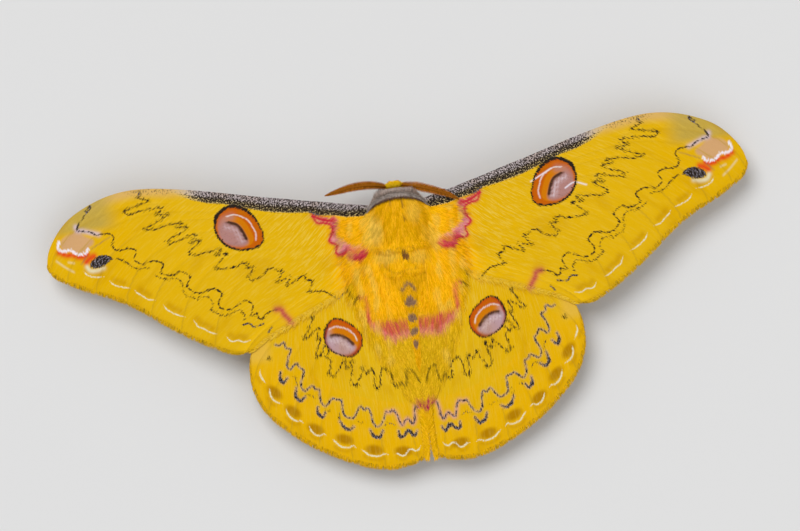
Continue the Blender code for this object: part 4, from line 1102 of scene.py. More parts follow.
# Pale patches in the coat: centre, half sizes, strength
PALE_TUFTS = [((-3.2, 1.6), (1.1, 2.2), 0.85), ((1.9, 3.4), (1.1, 1.4), 0.4), ((3.9, -0.3), (0.5, 1.8), 0.45),
              ((-2.3, -2.2), (1.8, 0.9), 0.7), ((1.9, -2.7), (1.3, 0.9), 0.5)]
DORSAL_LINES = [([(-0.95, -6.9), (0.0, -6.1), (0.85, -6.9)], MAUVE, 0.22, 0.9),
                ([(0.74, 4.7), (0.7, 4.3)], MARK_AND_SHADOW_BROWN, 0.16, 0.6),
                ([(0.6, 3.1), (0.68, 2.7)], MARK_AND_SHADOW_BROWN, 0.12, 0.5),
                ([(-0.95, 4.9), (-0.85, 4.6)], MARK_AND_SHADOW_BROWN, 0.16, 0.6),
                # Painted shadow: these two brown lines lie across the body at the coat's steps
                ([(-3.2, -1.3), (-1.6, -1.6), (0.0, -1.3), (1.4, -1.5)], MARK_AND_SHADOW_BROWN, 0.12, 0.35),
                ([(-2.4, -3.6), (-1.4, -4.6), (0.2, -4.4), (1.6, -4.0)], MARK_AND_SHADOW_BROWN, 0.12, 0.35)]
# Half width of the abdomen's strip of fur that shows between the hindwings' hair
STRIP = np.array([
    (-18.6, 0.0), (-17.0, 0.4), (-14.2, 0.65), (-11.5, 0.8), (-8.8, 1.0), (-6.0, 1.6), (-5.0, 4.0)])
# Where the coat ends in a step, seen from above: place along the body, half width
COAT_STEPS = [(-1.5, 3.4), (-4.6, 2.8)]
STEP_REACH = 2.0
CLEFT_ROOT = 0.5


def lie_of_coat(x, y):
    """Angle from straight back, in radians outwards, and length of the hair at places."""
    away = np.hypot(np.abs(x)[:, None] - LIE[:, 0], y[:, None] - LIE[:, 1])
    weight = bell(away, LIE_REACH)
    weight /= weight.sum(axis=1)[:, None] + 1e-12
    return np.radians(weight @ LIE[:, 2]) * np.sign(x), weight @ LIE[:, 3]


def forewing_rear(x):
    """How far back the forewing reaches at places across the moth."""
    return read_line([(4.0, -1.2)] + FORE_INNER, np.abs(x))


def make_sheet():
    """Height of the surface that the coat grows from, as a table seen from above."""
    x, y = (grid.ravel() for grid in np.meshgrid(SHEET_X, SHEET_Y, indexing="ij"))
    wing = wing_height(x, y) + WING_HALF_THICK - np.where(y > forewing_rear(x), 0.0, HINDWING_BELOW)
    height = np.maximum(body_top(np.abs(x), y, -0.1), wing).reshape(len(SHEET_X), len(SHEET_Y))
    reach = int(3 * SHEET_BLUR / SHEET_STEP)
    kernel = np.exp(-0.5 * (np.arange(-reach, reach + 1) * SHEET_STEP / SHEET_BLUR) ** 2)
    kernel /= kernel.sum()
    for axis in (0, 1):
        pad = [(reach, reach) if k == axis else (0, 0) for k in (0, 1)]
        padded = np.pad(height, pad, mode="edge")
        count = height.shape[axis]
        height = sum(k * np.take(padded, range(i, i + count), axis) for i, k in enumerate(kernel))
    return height


SHEET = make_sheet()


def sheet_height(x, y):
    """Read the coat's base height between the table's places."""
    i = np.clip((x - SHEET_X[0]) / SHEET_STEP, 0, len(SHEET_X) - 1.001)
    j = np.clip((y - SHEET_Y[0]) / SHEET_STEP, 0, len(SHEET_Y) - 1.001)
    i0 = i.astype(int)
    j0 = j.astype(int)
    a = i - i0
    b = j - j0
    return ((1 - a) * (1 - b) * SHEET[i0, j0] + a * (1 - b) * SHEET[i0 + 1, j0]
            + (1 - a) * b * SHEET[i0, j0 + 1] + a * b * SHEET[i0 + 1, j0 + 1])


def coat_tint(x, y):
    """Colour of the hair rooted at places seen from above."""
    right = np.abs(x)
    paint = Paint(right, y, FUR)
    fore = (y > forewing_rear(x) + 0.3) & (right > 4.3)
    hind = (y <= forewing_rear(x) + 0.3) & (right > read_line(STRIP, y))
    ink = np.full(x.shape, -1.0)
    rust = np.full(x.shape, -1.0)
    # Deeper fur over the thorax top and the rear, partly painted shade: darker where the coat faces the
    # light, the shaded middle left lighter
    paint.wash(FUR_DEEP_AND_SHADE, 0.9 * ramp(y, -2.5, 1.0) * fall(right, 3.0, 5.0))
    paint.wash(FUR_DEEP_AND_SHADE, 0.8 * fall(y, -6.0, -4.5))
    blend = ramp(right, 4.2, 4.8 + 1.8 * ramp(y, 0.2, 1.5))
    for where, painter, share in ((fore, paint_forewing, blend), (hind, paint_hindwing, np.ones(x.shape))):
        under = painter(right[where], y[where], np.sign(x[where]) if painter is paint_hindwing else 1)
        share = share[where][:, None]
        paint.tint[where] = paint.tint[where] * (1 - share) + under.tint * share
        ink[where] = under.ink
        rust[where] = under.rust
    paint.wash(FUR, 0.5 * (fore | hind) * fall(right, 5.0, 7.5) * (rust < -0.6) * ramp(y, -10, -8))
    tufts = ramp(ripple(x * 1.6, y * 0.4, 1.6, 21), 0.1, 0.9)
    paint.wash(FUR_PALE, 0.5 * tufts * ramp(right, 2.0, 4.5))
    for centre, axes, strength in PALE_TUFTS:
        paint.wash(FUR_PALE, strength * fall(spot_radius(centre, axes, 0, x, y), 0.4, 1.3))
    paint.wash(CRIMSON, 0.7 * ramp(rust, -0.2, 0.05))
    paint.wash(LINE_OLIVE, 0.8 * ramp(ink, -0.14, 0.04))
    for centre, axes, tilt, colour, strength in DORSAL_MARKS:
        radius = spot_radius(centre, axes, tilt, x, y)
        paint.wash(colour, strength * fall(radius, 0.75, 1.15))
    for points, colour, width, strength in DORSAL_LINES:
        paint.wash(colour, strength * bell(line_distance(points, x, y)[0], width))
    return paint.tint


def add_hairs(name, paths, ups, widths, tints, roots_uv, slot="fur", shade=None, start=0.0):
    """Many tapered hairs as one mesh: closed slivers with three sides along paths of four points."""
    count = len(paths)
    if shade is None:
        shade = RANDOM.random(count)
    ahead = unit(np.diff(paths, axis=1))
    across = unit(np.cross(ahead, ups[:, None]))
    over = np.cross(across, ahead)
    half = 0.5 * widths[:, None, None] * HAIR_TAPER[:, None]
    rings = np.stack([paths[:, :3] + across * half, paths[:, :3] - across * half,
                      paths[:, :3] + over * half * RIDGE], axis=2)
    places = np.concatenate([rings.reshape(count, 9, 3), paths[:, 3:4]], axis=1).reshape(-1, 3)
    faces = [(0, 1, 2)]
    for ring in (0, 3):
        for k in range(3):
            after = (k + 1) % 3
            faces.append((ring + k, ring + 3 + k, ring + 3 + after))
            faces.append((ring + k, ring + 3 + after, ring + after))
    faces += [(6 + k, 9, 6 + (k + 1) % 3) for k in range(3)]
    faces = (np.array(faces)[None] + 10 * np.arange(count)[:, None, None]).reshape(-1, 3)
    along = start + (1 - start) * np.tile(np.repeat(HAIR_RUN, (3, 3, 3, 1)), count)
    ring_place = np.array([(k % 3 / 2, HAIR_RUN[k // 3]) for k in range(9)] + [(0.5, 1.0)])
    uv = np.repeat(roots_uv, 10, axis=0) + TUFT_PATCH * np.tile(ring_place - 0.5, (count, 1))
    thing = add_mesh(name, places, faces, COAT, colour=np.repeat(tints, 10, axis=0),
                     floats=[("shade", np.repeat(shade, 10)), ("along", along)], baking=uv, smooth=False)
    return thing


def dorsal_coat(name, y_span, count):
    """Hair seen from above: over the thorax and abdomen and out over the wing bases."""
    x = np.empty(0)
    y = np.empty(0)
    while len(x) < count:
        ty = RANDOM.uniform(*y_span, 4 * count)
        tx = RANDOM.uniform(-10.0, 10.0, 4 * count)
        edge = read_line(COAT_EDGE, ty)
        chance = fall(np.abs(tx), 0.5 * edge, 1.15 * edge)
        front = read_line(FUR_FRONT, np.abs(tx))
        keep = (RANDOM.random(len(tx)) < chance) & (ty < front)
        x = np.concatenate([x, tx[keep]])
        y = np.concatenate([y, ty[keep]])
    x = x[:count]
    y = y[:count]
    x = np.where((y < -19.4) & (np.abs(x) < CLEFT_ROOT), np.sign(x) * (CLEFT_ROOT + np.abs(x)), x)
    outer = ramp(np.abs(x) / read_line(COAT_EDGE, y), 0.5, 1.0)
    angle, length = lie_of_coat(x, y)
    angle = angle + 0.10 * ripple(x, y * 0.5, 1.6, 3) + RANDOM.normal(0, 0.07, count)
    length = length * RANDOM.uniform(0.75, 1.15, count) * (1 - 0.3 * outer)
    lift = 0.15 + 0.05 * ripple(x * 1.4, y * 0.35, 1.0, 5) + RANDOM.uniform(-0.05, 0.06, count)
    lift = lift * (1 - 0.55 * outer)
    for place, half in COAT_STEPS:
        before = y - place - 0.03 * x * x - 0.15 * ripple(x, y * 0.2, 1.4, 8)
        near = (before > 0) & (before < STEP_REACH) & (np.abs(x) < half)
        length = np.where(near, np.minimum(length, before + RANDOM.uniform(0.2, 1.3, count)), length)
        lift = lift + near * 0.1 * (1 - before / STEP_REACH)
    steps = HAIR_RUN * length[:, None]
    bend = RANDOM.normal(0, 0.08, count)[:, None] * HAIR_RUN
    px = x[:, None] + np.sin(angle[:, None] + bend) * steps
    py = y[:, None] - np.cos(angle[:, None] + bend) * steps
    rise = np.array([-0.3, 0.6, 1.1, 1.0]) * lift[:, None] + np.array([-0.05, 0.03, 0.05, 0.02])
    pz = np.minimum(sheet_height(px.ravel(), py.ravel()).reshape(px.shape) + rise, COAT_TOP)
    paths = stack(px, py, pz)
    uv = stack((x + 14) / 28, (y + 26) / 34)
    tints = coat_tint(0.4 * x + 0.6 * px[:, 2], 0.4 * y + 0.6 * py[:, 2])
    across = x * np.cos(angle) + y * np.sin(angle)
    ahead = x * np.sin(angle) - y * np.cos(angle)
    locks = ripple(across * 2.4, ahead * 0.45, 0.9, 61)
    shade = np.clip(0.5 + 0.24 * locks + RANDOM.normal(0, 0.26, count), 0, 1)
    add_hairs(name, paths, UP, RANDOM.uniform(0.055, 0.095, count), tints, uv, shade=shade)


def body_map(angle, s):
    """Where the body's places lie on its baking map: round it and along it."""
    return 0.01 + 0.98 * stack(angle / (2 * math.pi) % 1.0, (s + 20) / 27)


def hair_paths(start, size, lie, out, bends):
    """Hairs' places: bends gives how far each is along the lie and how far out."""
    return np.stack([start + size * (lie * run + out * rise) for run, rise in bends], axis=1)


def body_coat(name, s_span, angles, count, length, tint):
    """Hair over a stretch of the body between two angles round it, given in half turns."""
    s = RANDOM.uniform(*s_span, count)
    angle = math.pi * RANDOM.uniform(*angles, count)
    size = length * RANDOM.uniform(0.7, 1.15, count)
    steps = HAIR_RUN * size[:, None]
    turn = RANDOM.normal(0, 0.05, count)[:, None] * HAIR_RUN
    rises = np.array([-0.036, 0.126, 0.198, 0.162]) * RANDOM.uniform(0.6, 1.4, count)[:, None]
    at = np.maximum(s[:, None] - steps, BODY_LENGTH[1])
    way = angle[:, None] + turn
    paths = body_point(at.ravel(), way.ravel(), rises.ravel() - 0.15).reshape(count, 4, 3)
    ups = stack(np.cos(angle), np.zeros(count), np.sin(angle))
    uv = body_map(angle, s)
    add_hairs(name, paths, ups, RANDOM.uniform(0.08, 0.12, count), plain(tint, count), uv)


def collar_coat():
    """Short velvet of the collar, standing out forwards over its front edge and the eyes."""
    count = COLLAR_HAIRS
    angle = RANDOM.uniform(0, 2 * math.pi, count)
    s = RANDOM.uniform(4.2, 6.3, count)
    shrink = ramp(s, 5.6, 6.3) * -1.5
    start = body_point(s, angle, shrink)
    normal = stack(np.cos(angle), np.full(count, 0.3), np.sin(angle))
    forward = ramp(s, 4.6, 5.6)[:, None]
    normal = unit(normal * (1 - 0.5 * forward) + AHEAD * forward)
    back = -AHEAD * (1 - forward)
    over_eye = bell(np.abs(start[:, 0]) - 2.1, 0.8) * (np.sin(angle) > 0.1) * forward[:, 0]
    over_eye *= np.where(start[:, 0] < 0, 1.7, 1.0)
    size = (RANDOM.uniform(0.4, 0.6, count) * (1 + over_eye))[:, None]
    paths = hair_paths(start, size, back, normal, COLLAR_BENDS)
    paths[:, :, 2] = np.minimum(paths[:, :, 2], COAT_TOP)
    uv = body_map(angle, s)
    # Painted light: the collar's hair made lighter from its middle to its front edge, most where its
    # forward-facing hair lies in shade, then each hair lighter or darker at random
    painted_light_and_tone = 1.0 + 0.5 * ramp(s, 4.8, 5.5) + 0.45 * bell(s - 5.2, 0.22)
    painted_light_and_tone = (RANDOM.uniform(0.75, 1.25, count) * painted_light_and_tone)[:, None]
    paint = Paint(*paths[:, 2, :2].T, COLLAR_GREY)
    # Dark brown at the collar's rear edge where the yellow fur meets it: partly a row of dark brown hairs,
    # partly painted shadow
    paint.wash(COLLAR_SHADE, 0.9 * fall(paint.y - read_line(FUR_FRONT, np.abs(paint.x)), 0.0, 0.2))
    tints = np.clip(paint.tint * painted_light_and_tone, 0, 1)
    add_hairs("coat_collar", paths, normal, RANDOM.uniform(0.06, 0.1, count), tints, uv, slot="collar")


def along_hair(root, tip):
    """Each hair's four values between one at its root and one at its tip."""
    return root[:, None] + (tip - root)[:, None] * HAIR_RUN


def fringe(kind, side, word):
    """The fringe of hair scales round a wing's outer and inner margins, nicked at the veins."""
    edges, veins, paint_wing, below = WINGS[kind]
    place = wing_surface(edges)
    shares, long, wide = wing_lengths(place)
    sets = []
    margin = int(MARGIN_HAIRS * run_along(edges[3])[-1])
    t = RANDOM.random(margin)
    length = np.interp(t, shares, long)
    root = 1 - (MARGIN_FRINGE + RANDOM.uniform(0.15, 0.4, margin)) / length
    off_vein = np.abs(t[:, None] - np.array(veins)[:, 2]).min(axis=1) * wide[-1]
    nick = 0.14 * fall(off_vein, 0.05, 0.25) + 0.06 * ramp(ripple(t * wide[-1], t, 1.5, 31), 0.4, 1)
    tip = 1 - (RANDOM.uniform(0.04, 0.12, margin) + nick) / length
    drift = RANDOM.normal(0, 0.07, margin) / wide[-1]
    sets.append((along_hair(root, tip), along_hair(t, t + drift), np.zeros(margin)))
    # Long soft hair along the inner margin lies over what is under it
    inner = int(INNER_HAIRS * long[-1])
    s = RANDOM.uniform(0.0, 1.0, inner)
    width = np.interp(s, shares, wide)
    reach = INNER_REACH[kind] * fall(s, 0.85, 1.0)
    root = 1 - (INNER_FRINGE + RANDOM.uniform(0.2, 0.9, inner)) / width
    spread = np.minimum(0.1 + RANDOM.exponential(0.6, inner), 2.4)
    tip = 1 + reach * spread / width
    drift = (0.2 + 0.8 * spread) * RANDOM.uniform(0.5, 1.1, inner) / long[-1]
    sets.append((np.minimum(along_hair(s, s + drift), 1.0), along_hair(root, tip), reach))
    s, t, reach = (np.concatenate([part[k] for part in sets]) for k in (0, 1, 2))
    count = len(s)
    flat = place(s.ravel(), t.ravel())
    x, y = flat[:, 0], flat[:, 1]
    middle = slice(2, None, 4)
    tints = paint_wing(x[middle], y[middle], side)
    tints.wash(OLIVE, ramp(RANDOM.random(count), 0.2, 0.9) * np.where(reach > 0, 0.0, 0.8))
    tints.wash(LINE_OLIVE, np.where((reach == 0) & (RANDOM.random(count) < 0.14), 0.5, 0.0))
    tints.wash(STRAW, np.where(reach > 0, RANDOM.uniform(0.0, 0.6, count), 0.0))
    tints.wash(LINE_OLIVE, 0.8 * ramp(tints.ink, -0.14, 0.04))
    if kind == "fore" and side < 0:
        x, y = swept(x, y)
    past = (1 - t) * np.interp(s, shares, wide)
    lift = np.array([0.05, 0.12, 0.02, -0.05]) + RANDOM.uniform(-0.05, 0.05, count)[:, None]
    thick = half_thickness(past)
    flat_hair = thick + np.array([-0.07, 0.01, 0.03, 0.0]) + RANDOM.uniform(-0.01, 0.02, count)[:, None]
    lift = np.where(reach[:, None] > 0, flat_hair, lift)
    if kind == "fore":
        lift = lift - rear_droop(past)
    paths = stack(side * x, y, wing_height(x, y) - below + lift.ravel()).reshape(count, 4, 3)
    uv = wing_map(x, y).reshape(count, 4, 2)[:, 0]
    add_hairs(f"fringe_{kind}_{word}", paths, UP, RANDOM.uniform(0.06, 0.1, count), tints.tint, uv,
              slot="wing", shade=RANDOM.uniform(0.35, 0.65, count), start=0.5)


ANTENNAE = {
    "right": [(0.80, 6.85, 5.30), (1.20, 6.85, 6.00), (2.00, 6.65, 6.75), (3.10, 6.35, 7.35),
              (4.10, 5.98, 7.60), (5.10, 5.60, 7.75), (7.00, 4.75, 7.75), (8.50, 3.80, 7.60)],
    "left": [(-0.80, 6.85, 5.30), (-1.20, 6.95, 5.85), (-2.00, 7.15, 6.30), (-3.50, 7.40, 6.55),
             (-5.50, 7.42, 6.60), (-7.50, 7.15, 6.50), (-9.50, 6.80, 6.25)]}
STALK_RADII = [0.17, 0.16, 0.14, 0.12, 0.09, 0.05]
BRANCH_STEP = 0.11
BRANCH_REACH = 0.7
BRANCH_WIDTH = 0.12
# A branch's places: how far out, how far bent forwards and how far up
BRANCH_BENDS = ((0.05, 0.0, 0.0), (0.4, 0.1, -0.08), (0.75, 0.28, -0.16), (1.0, 0.5, -0.2))
LEG_RADII = [0.55, 0.52, 0.40, 0.34, 0.26, 0.22, 0.2]
LEGS = {
    "foreleg": [(1.5, 3.0, 3.6), (3.1, 3.7, 3.4), (4.7, 4.1, 3.1), (5.9, 3.9, 1.5), (6.4, 4.1, 0.34),
                (6.6, 4.9, 0.24), (6.7, 5.6, 0.22)],
    "midleg": [(1.8, 0.0, 3.4), (4.2, -0.4, 3.5), (6.4, -0.9, 3.3), (8.2, -1.6, 1.6), (9.3, -2.0, 0.34),
               (10.4, -2.5, 0.24), (11.5, -3.0, 0.22)],
    "hindleg": [(1.8, -2.4, 3.4), (4.0, -4.4, 3.4), (5.8, -6.4, 3.1), (7.0, -8.6, 1.5), (7.8, -10.0, 0.34),
                (8.5, -11.3, 0.24), (9.2, -12.6, 0.22)],
}
LEFT_TOE = (6.65, 5.1, 0.22)
LEG_COLOUR = (176, 112, 92)
FEELER = (140, 82, 18)
HEAD_YELLOW = (246, 204, 26)
CHEST_FUR = (240, 178, 50)
BELLY_FUR = (238, 180, 60)
FACET_RIM = (46, 32, 26)
FACET = (18, 12, 12)
COLLAR_HAIRS = 9500
CHEST_HAIRS = 2600
HEAD_HAIRS = 3000
LIMB_HAIRS = 500


def ring_faces(steps, sides):
    """Triangles between rings of places, closed by the two places that come after the last ring."""
    grid = np.arange(steps * sides).reshape(steps, sides)
    after = np.roll(grid, -1, axis=1)
    first, last = (np.full(sides, steps * sides + k) for k in (0, 1))
    return np.concatenate([stack(grid[:-1], after[:-1], after[1:]).reshape(-1, 3),
                           stack(grid[:-1], after[1:], grid[1:]).reshape(-1, 3),
                           stack(after[0], grid[0], first),
                           stack(grid[-1], after[-1], last)])


def tube(path, radii, sides=14, steps=60):
    """Places, faces and frames of a closed round tube along a smooth path."""
    at = np.linspace(0, 1, steps)
    middle = curve_points(path, at)
    thick = np.interp(at, np.linspace(0, 1, len(radii)), radii)
    ahead = unit(np.gradient(middle, axis=0))
    side = unit(np.cross(ahead, UP))
    over = np.cross(side, ahead)
    angle = np.linspace(0, 2 * math.pi, sides, endpoint=False)
    ring = np.cos(angle)[:, None] * side[:, None] + np.sin(angle)[:, None] * over[:, None]
    places = (middle[:, None] + ring * thick[:, None, None]).reshape(-1, 3)
    places = np.concatenate([places, middle[:1], middle[-1:]])
    return places, ring_faces(steps, sides), (middle, ahead, side, over, thick)


def join(parts):
    """Several meshes' places and faces as one."""
    places = np.concatenate([part[0] for part in parts])
    shifts = np.cumsum([0] + [len(part[0]) for part in parts[:-1]])
    return places, np.concatenate([part[1] + shift for part, shift in zip(parts, shifts)])


def ellipsoid(centre, radii, sides=40):
    """A closed ball with its own radius along each axis."""
    levels = sides // 2
    tall = np.linspace(-math.pi / 2, math.pi / 2, levels + 1)[1:-1]
    turn = np.linspace(0, 2 * math.pi, sides, endpoint=False)
    ball = stack(np.cos(tall)[:, None] * np.cos(turn), np.cos(tall)[:, None] * np.sin(turn),
                     np.sin(tall)[:, None] * np.ones(sides)).reshape(-1, 3)
    ball = np.concatenate([ball, [(0, 0, -1), (0, 0, 1)]])
    return ball * radii + centre, ring_faces(levels - 1, sides)


HEAD_CENTRE = np.array([0.0, 6.35, 4.30])
HEAD_RADII = np.array([1.25, 0.85, 1.6])
PALP = [(0.45, 6.9, 3.60), (0.50, 7.15, 3.05), (0.55, 7.2, 2.40)]
PALP_RADII = [0.3, 0.28, 0.14]
SKIN_STEPS = 120
SKIN_SIDES = 72


def body_skin():
    """One closed skin of the body from collar to tail."""
    s = np.linspace(*BODY_LENGTH, SKIN_STEPS)
    angle = np.linspace(0, 2 * math.pi, SKIN_SIDES, endpoint=False)
    deep = -0.32 * ramp(np.minimum(s - BODY_LENGTH[1], 1.0)) - 0.02
    places = body_point(np.repeat(s, SKIN_SIDES), np.tile(angle, SKIN_STEPS), np.repeat(deep, SKIN_SIDES))
    ends = np.array([places[:SKIN_SIDES].mean(axis=0), places[-SKIN_SIDES:].mean(axis=0)])
    return np.concatenate([places, ends]), ring_faces(SKIN_STEPS, SKIN_SIDES)[:, ::-1]


def skin_tints(places):
    """Colours of the body's skin: the coat's own, and grey under the collar."""
    x, y, _ = places.T
    ahead = y > read_line(FUR_FRONT, np.abs(x))
    return np.where(ahead[:, None], linear(COLLAR_GREY), coat_tint(x, y))


def make_skin():
    """The flesh under the coat: body, head, palps and legs in one piece."""
    parts = [body_skin(), ellipsoid(HEAD_CENTRE, HEAD_RADII)]
    tints = [skin_tints(parts[0][0]), plain(GOLD, len(parts[1][0]))]
    limbs = []
    for side in (1, -1):
        for kind, path in LEGS.items():
            if side < 0 and kind == "foreleg":
                path = path[:-1] + [LEFT_TOE]
            places, faces, frames = tube([(side * x, y, z) for x, y, z in path], LEG_RADII)
            parts.append((places, faces))
            tints.append(plain(LEG_COLOUR, len(places)) * 0.7)
            limbs.append(frames)
        places, faces, frames = tube([(side * x, y, z) for x, y, z in PALP], PALP_RADII, 12, 16)
        parts.append((places, faces))
        tints.append(plain(LEG_COLOUR, len(places)))
        limbs.append(frames)
    places, faces = join(parts)
    places[:, 2] = np.maximum(places[:, 2], 0.0)
    skin = add_mesh("skin", places, faces, COAT, colour=np.concatenate(tints),
                    floats=[("shade", np.full(len(places), 0.4)), ("along", np.full(len(places), 0.5))])
    nodes = ["collar", "thorax", "abdomen", "head"]
    for word in ("right", "left"):
        nodes += ["palp_" + word] + [f"{kind}_{word}" for kind in LEGS]
    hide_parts(*nodes)
    return limbs


def limb_coat(limbs):
    """Short hair over the legs and palps, lying towards their tips."""
    sets = []
    for middle, ahead, side, over, thick in limbs:
        at = RANDOM.uniform(0.02, 0.93, LIMB_HAIRS) * (len(middle) - 1)
        k = at.astype(int)
        angle = RANDOM.uniform(0, 2 * math.pi, LIMB_HAIRS)
        out = np.cos(angle)[:, None] * side[k] + np.sin(angle)[:, None] * over[k]
        size = (0.35 + 0.5 * thick[k])[:, None] * RANDOM.uniform(0.7, 1.2, LIMB_HAIRS)[:, None]
        start = middle[k] + out * thick[k][:, None] * 0.95
        paths = hair_paths(start, size, ahead[k], out, LIMB_BENDS)
        paths[:, :, 2] = np.maximum(paths[:, :, 2], 0.06)
        tint = linear(LEG_COLOUR) * RANDOM.uniform(0.7, 1.3, LIMB_HAIRS)[:, None]
        uv = stack(RANDOM.uniform(0.02, 0.98, LIMB_HAIRS), at / len(middle))
        sets.append((paths, out, RANDOM.uniform(0.05, 0.09, LIMB_HAIRS), np.clip(tint, 0, 1), uv))
    joined = [np.concatenate([part[k] for part in sets]) for k in range(5)]
    add_hairs("coat_legs", *joined, slot="leg")


def chest_coat():
    """Grey wool over the body's front end, behind the head."""
    count = CHEST_HAIRS
    angle = RANDOM.uniform(0, 2 * math.pi, count)
    share = np.sqrt(RANDOM.random(count))[:, None]
    middle = np.array([0.0, BODY_LENGTH[0] - 0.05, BODY[-1, 3]])
    start = middle + share * (body_point(np.full(count, BODY_LENGTH[0]), angle, -0.1) - middle)
    out = stack(np.cos(angle), np.zeros(count), np.sin(angle))
    size = RANDOM.uniform(0.5, 0.8, count)[:, None]
    lie = np.array([0.0, 0.55, -0.5]) + 0.7 * share * out
    paths = hair_paths(start, size, lie, AHEAD, CHEST_BENDS)
    uv = stack(angle / (2 * math.pi), np.full(count, 0.97))
    # Painted light: the wool's grey raised up to 1.7 times, each hair by its own amount, to lighten it where
    # it lies in shade under the body's front
    tints = linear(COLLAR_GREY) * RANDOM.uniform(1.0, 1.7, (count, 1))
    add_hairs("coat_chest", paths, out + (0, 0.5, 0), RANDOM.uniform(0.07, 0.11, count), tints, uv,
              slot="collar")


def head_coat():
    """Yellow hair of the head, with the tuft between the feelers."""
    count = HEAD_HAIRS
    way = RANDOM.normal(0, 1, (count, 3))
    way[:, 1] = np.abs(way[:, 1]) + 0.2
    way = unit(way)
    start = HEAD_CENTRE + way * HEAD_RADII * 0.97
    lie = stack(way[:, 0] * 0.5, np.full(count, 0.25), np.full(count, -0.9))
    top = ramp(start[:, 2], 4.9, 5.6)[:, None]
    lie = lie * (1 - top) + stack(way[:, 0] * 0.8, np.full(count, 0.75), np.full(count, 0.45)) * top
    size = (0.45 + 0.45 * top) * RANDOM.uniform(0.7, 1.15, count)[:, None]
    paths = hair_paths(start, size, lie, way, HEAD_BENDS)
    uv = stack(way[:, 0] * 0.45 + 0.5, way[:, 2] * 0.45 + 0.5)
    tints = plain(HEAD_YELLOW, count) * RANDOM.uniform(0.9, 1.25, (count, 1))
    add_hairs("coat_head", paths, way, RANDOM.uniform(0.05, 0.09, count), np.clip(tints, 0, 1), uv)


def make_feeler(word, path):
    """A feathery feeler: a stalk with close rows of fine curved branches."""
    places, faces, (middle, ahead, side, over, _) = tube(path, STALK_RADII, 10, 80)
    stalk = add_mesh(f"feeler_{word}", places, faces, COAT, colour=plain(FEELER, len(places)),
                     floats=[("shade", np.full(len(places), 0.5)), ("along", np.full(len(places), 0.6))])
    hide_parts("antenna_" + word)
    branches = int(run_along(middle)[-1] / BRANCH_STEP)
    share = np.repeat(np.linspace(0.06, 0.985, branches), 2)
    hand = np.tile([1.0, -1.0], branches)
    at = share * (len(middle) - 1)
    k = np.minimum(at.astype(int), len(middle) - 2)
    part = (at - k)[:, None]
    start = middle[k] * (1 - part) + middle[k + 1] * part
    reach = BRANCH_REACH * np.sin(math.pi * share ** 0.75) ** 0.6 * RANDOM.uniform(0.94, 1.04, 2 * branches)
    odd = np.repeat(np.arange(branches) % 2, 2)
    reach = np.maximum(reach * (1 - 0.12 * odd), 0.1)[:, None]
    out = side[k] * hand[:, None]
    lower = np.tile([0.0, 0.0, -1.0, -1.0], branches // 2 + 1)[:2 * branches, None]
    paths = np.stack([start + reach * (out * run + ahead[k] * lean) + over[k] * (drop * reach + 0.05 * lower)
                      for run, lean, drop in BRANCH_BENDS], axis=1)
    tints = linear(FEELER) * (RANDOM.uniform(0.9, 1.3, 2 * branches) * (1.25 - 0.5 * odd))[:, None]
    uv = stack(share * 0.96 + 0.02, 0.5 + 0.3 * hand)
    widths = np.full(2 * branches, BRANCH_WIDTH)
    comb = add_hairs(f"feeler_comb_{word}", paths, over[k], widths, np.clip(tints, 0, 1), uv, slot="feeler")
    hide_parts("antenna_" + word)


def eye_material():
    """Dark compound eye: fine facets and a soft gloss."""
    shader = Shader("compound_eye", 0.22, 0.5)
    place = shader.put("ShaderNodeTexCoord").outputs["Object"]
    cells = shader.put("ShaderNodeTexVoronoi", {"Vector": place, "Scale": 9000.0}).outputs["Distance"]
    colour = shader.mix(shader.remap(cells, 0.2, 0.6), FACET_RIM, FACET)
    return shader.finish(colour, cells, 0.5)


def make_eyes():
    """A compound eye on each side of the head."""
    facets = eye_material()
    for side, word in SIDES:
        places, faces = ellipsoid(EYE_CENTRE * (side, 1, 1), np.full(3, EYE_RADIUS * 0.97), 56)
        eye = add_mesh(f"compound_eye_{word}", places, faces, facets)
        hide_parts("eye_" + word)


def make_coat():
    """All hair of the body, collar and head, and the wings' fringes."""
    for name, y_span, count in DORSAL_COATS:
        dorsal_coat(name, y_span, count)
    body_coat("coat_under", (-4.0, 4.4), (0.97, 2.03), 4000, 1.6, CHEST_FUR)
    body_coat("coat_belly", (-18.5, -4.0), (0.9, 2.1), 3500, 1.3, BELLY_FUR)
    collar_coat()
    chest_coat()
    head_coat()
    for side, word in SIDES:
        for kind in WINGS:
            fringe(kind, side, word)


# Camera and light
VIEW_RIGHT = Vector((0.9903, -0.1392, 0.0))
VIEW_UP = Vector((0.1392, 0.9903, 0.0))
VIEW_POINT = (-0.69, -3.93, 6.0)
VIEW_WIDTH = 108.2
VIEW_DISTANCE = 0.9
SENSOR_WIDTH = 36
FLOOR_HALF = 0.6
FLOOR_GREY = (0.72, 0.72, 0.72, 1)
SKY_STRENGTH = 0.42
# Lights: name, degrees from straight above, degrees round from the head, strength, degrees across
LIGHTS = (("key", 30, -25, 1.75, 35), ("fill", 35, 150, 0.5, 60))


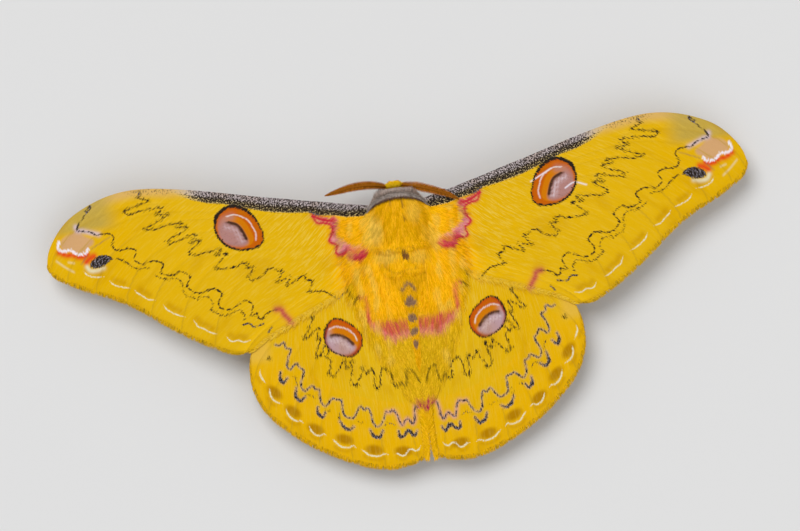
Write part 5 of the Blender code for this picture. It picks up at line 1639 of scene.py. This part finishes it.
def make_stage():
    """A pale floor, soft light and the camera straight above, turned as the photo is."""
    mesh = bpy.data.meshes.new("floor")
    corners = [(-FLOOR_HALF, -FLOOR_HALF, 0), (FLOOR_HALF, -FLOOR_HALF, 0), (FLOOR_HALF, FLOOR_HALF, 0),
               (-FLOOR_HALF, FLOOR_HALF, 0)]
    mesh.from_pydata(corners, [], [(0, 1, 2, 3)])
    floor = bpy.data.objects.new("floor", mesh)
    bpy.context.scene.collection.objects.link(floor)
    shader = Shader("floor", 0.9, 0.1)
    shader.surface.inputs["Base Color"].default_value = FLOOR_GREY
    mesh.materials.append(shader.material)
    world = bpy.data.worlds.new("studio")
    bpy.context.scene.world = world
    world.use_nodes = True
    background = world.node_tree.nodes["Background"]
    background.inputs["Color"].default_value = (1, 1, 1, 1)
    background.inputs["Strength"].default_value = SKY_STRENGTH
    for name, tilt, turn, strength, soft in LIGHTS:
        light = bpy.data.lights.new(name, "SUN")
        light.energy = strength
        light.angle = math.radians(soft)
        lamp = bpy.data.objects.new(name, light)
        tilt = math.radians(tilt)
        turn = math.radians(turn)
        way = Vector((math.sin(turn) * math.sin(tilt), math.cos(turn) * math.sin(tilt), math.cos(tilt)))
        lamp.rotation_euler = way.to_track_quat("Z", "Y").to_euler()
        bpy.context.scene.collection.objects.link(lamp)
    lens = bpy.data.cameras.new("camera")
    lens.sensor_width = SENSOR_WIDTH
    lens.lens = SENSOR_WIDTH * VIEW_DISTANCE / (VIEW_WIDTH * MM)
    lens.clip_start = 0.01
    camera = bpy.data.objects.new("camera", lens)
    target = Vector((np.array(VIEW_POINT) + ORIGIN) * MM)
    turn = Matrix((VIEW_RIGHT, VIEW_UP, VIEW_RIGHT.cross(VIEW_UP))).transposed().to_4x4()
    camera.matrix_world = Matrix.Translation(target + Vector((0, 0, VIEW_DISTANCE))) @ turn
    bpy.context.scene.collection.objects.link(camera)
    bpy.context.scene.camera = camera
    bpy.context.scene.view_settings.view_transform = "Standard"


make_stage()
for side, word in SIDES:
    for kind in WINGS:
        make_wing(kind, side, word)
limb_coat(make_skin())
make_coat()
for word, path in ANTENNAE.items():
    make_feeler(word, path)
make_eyes()
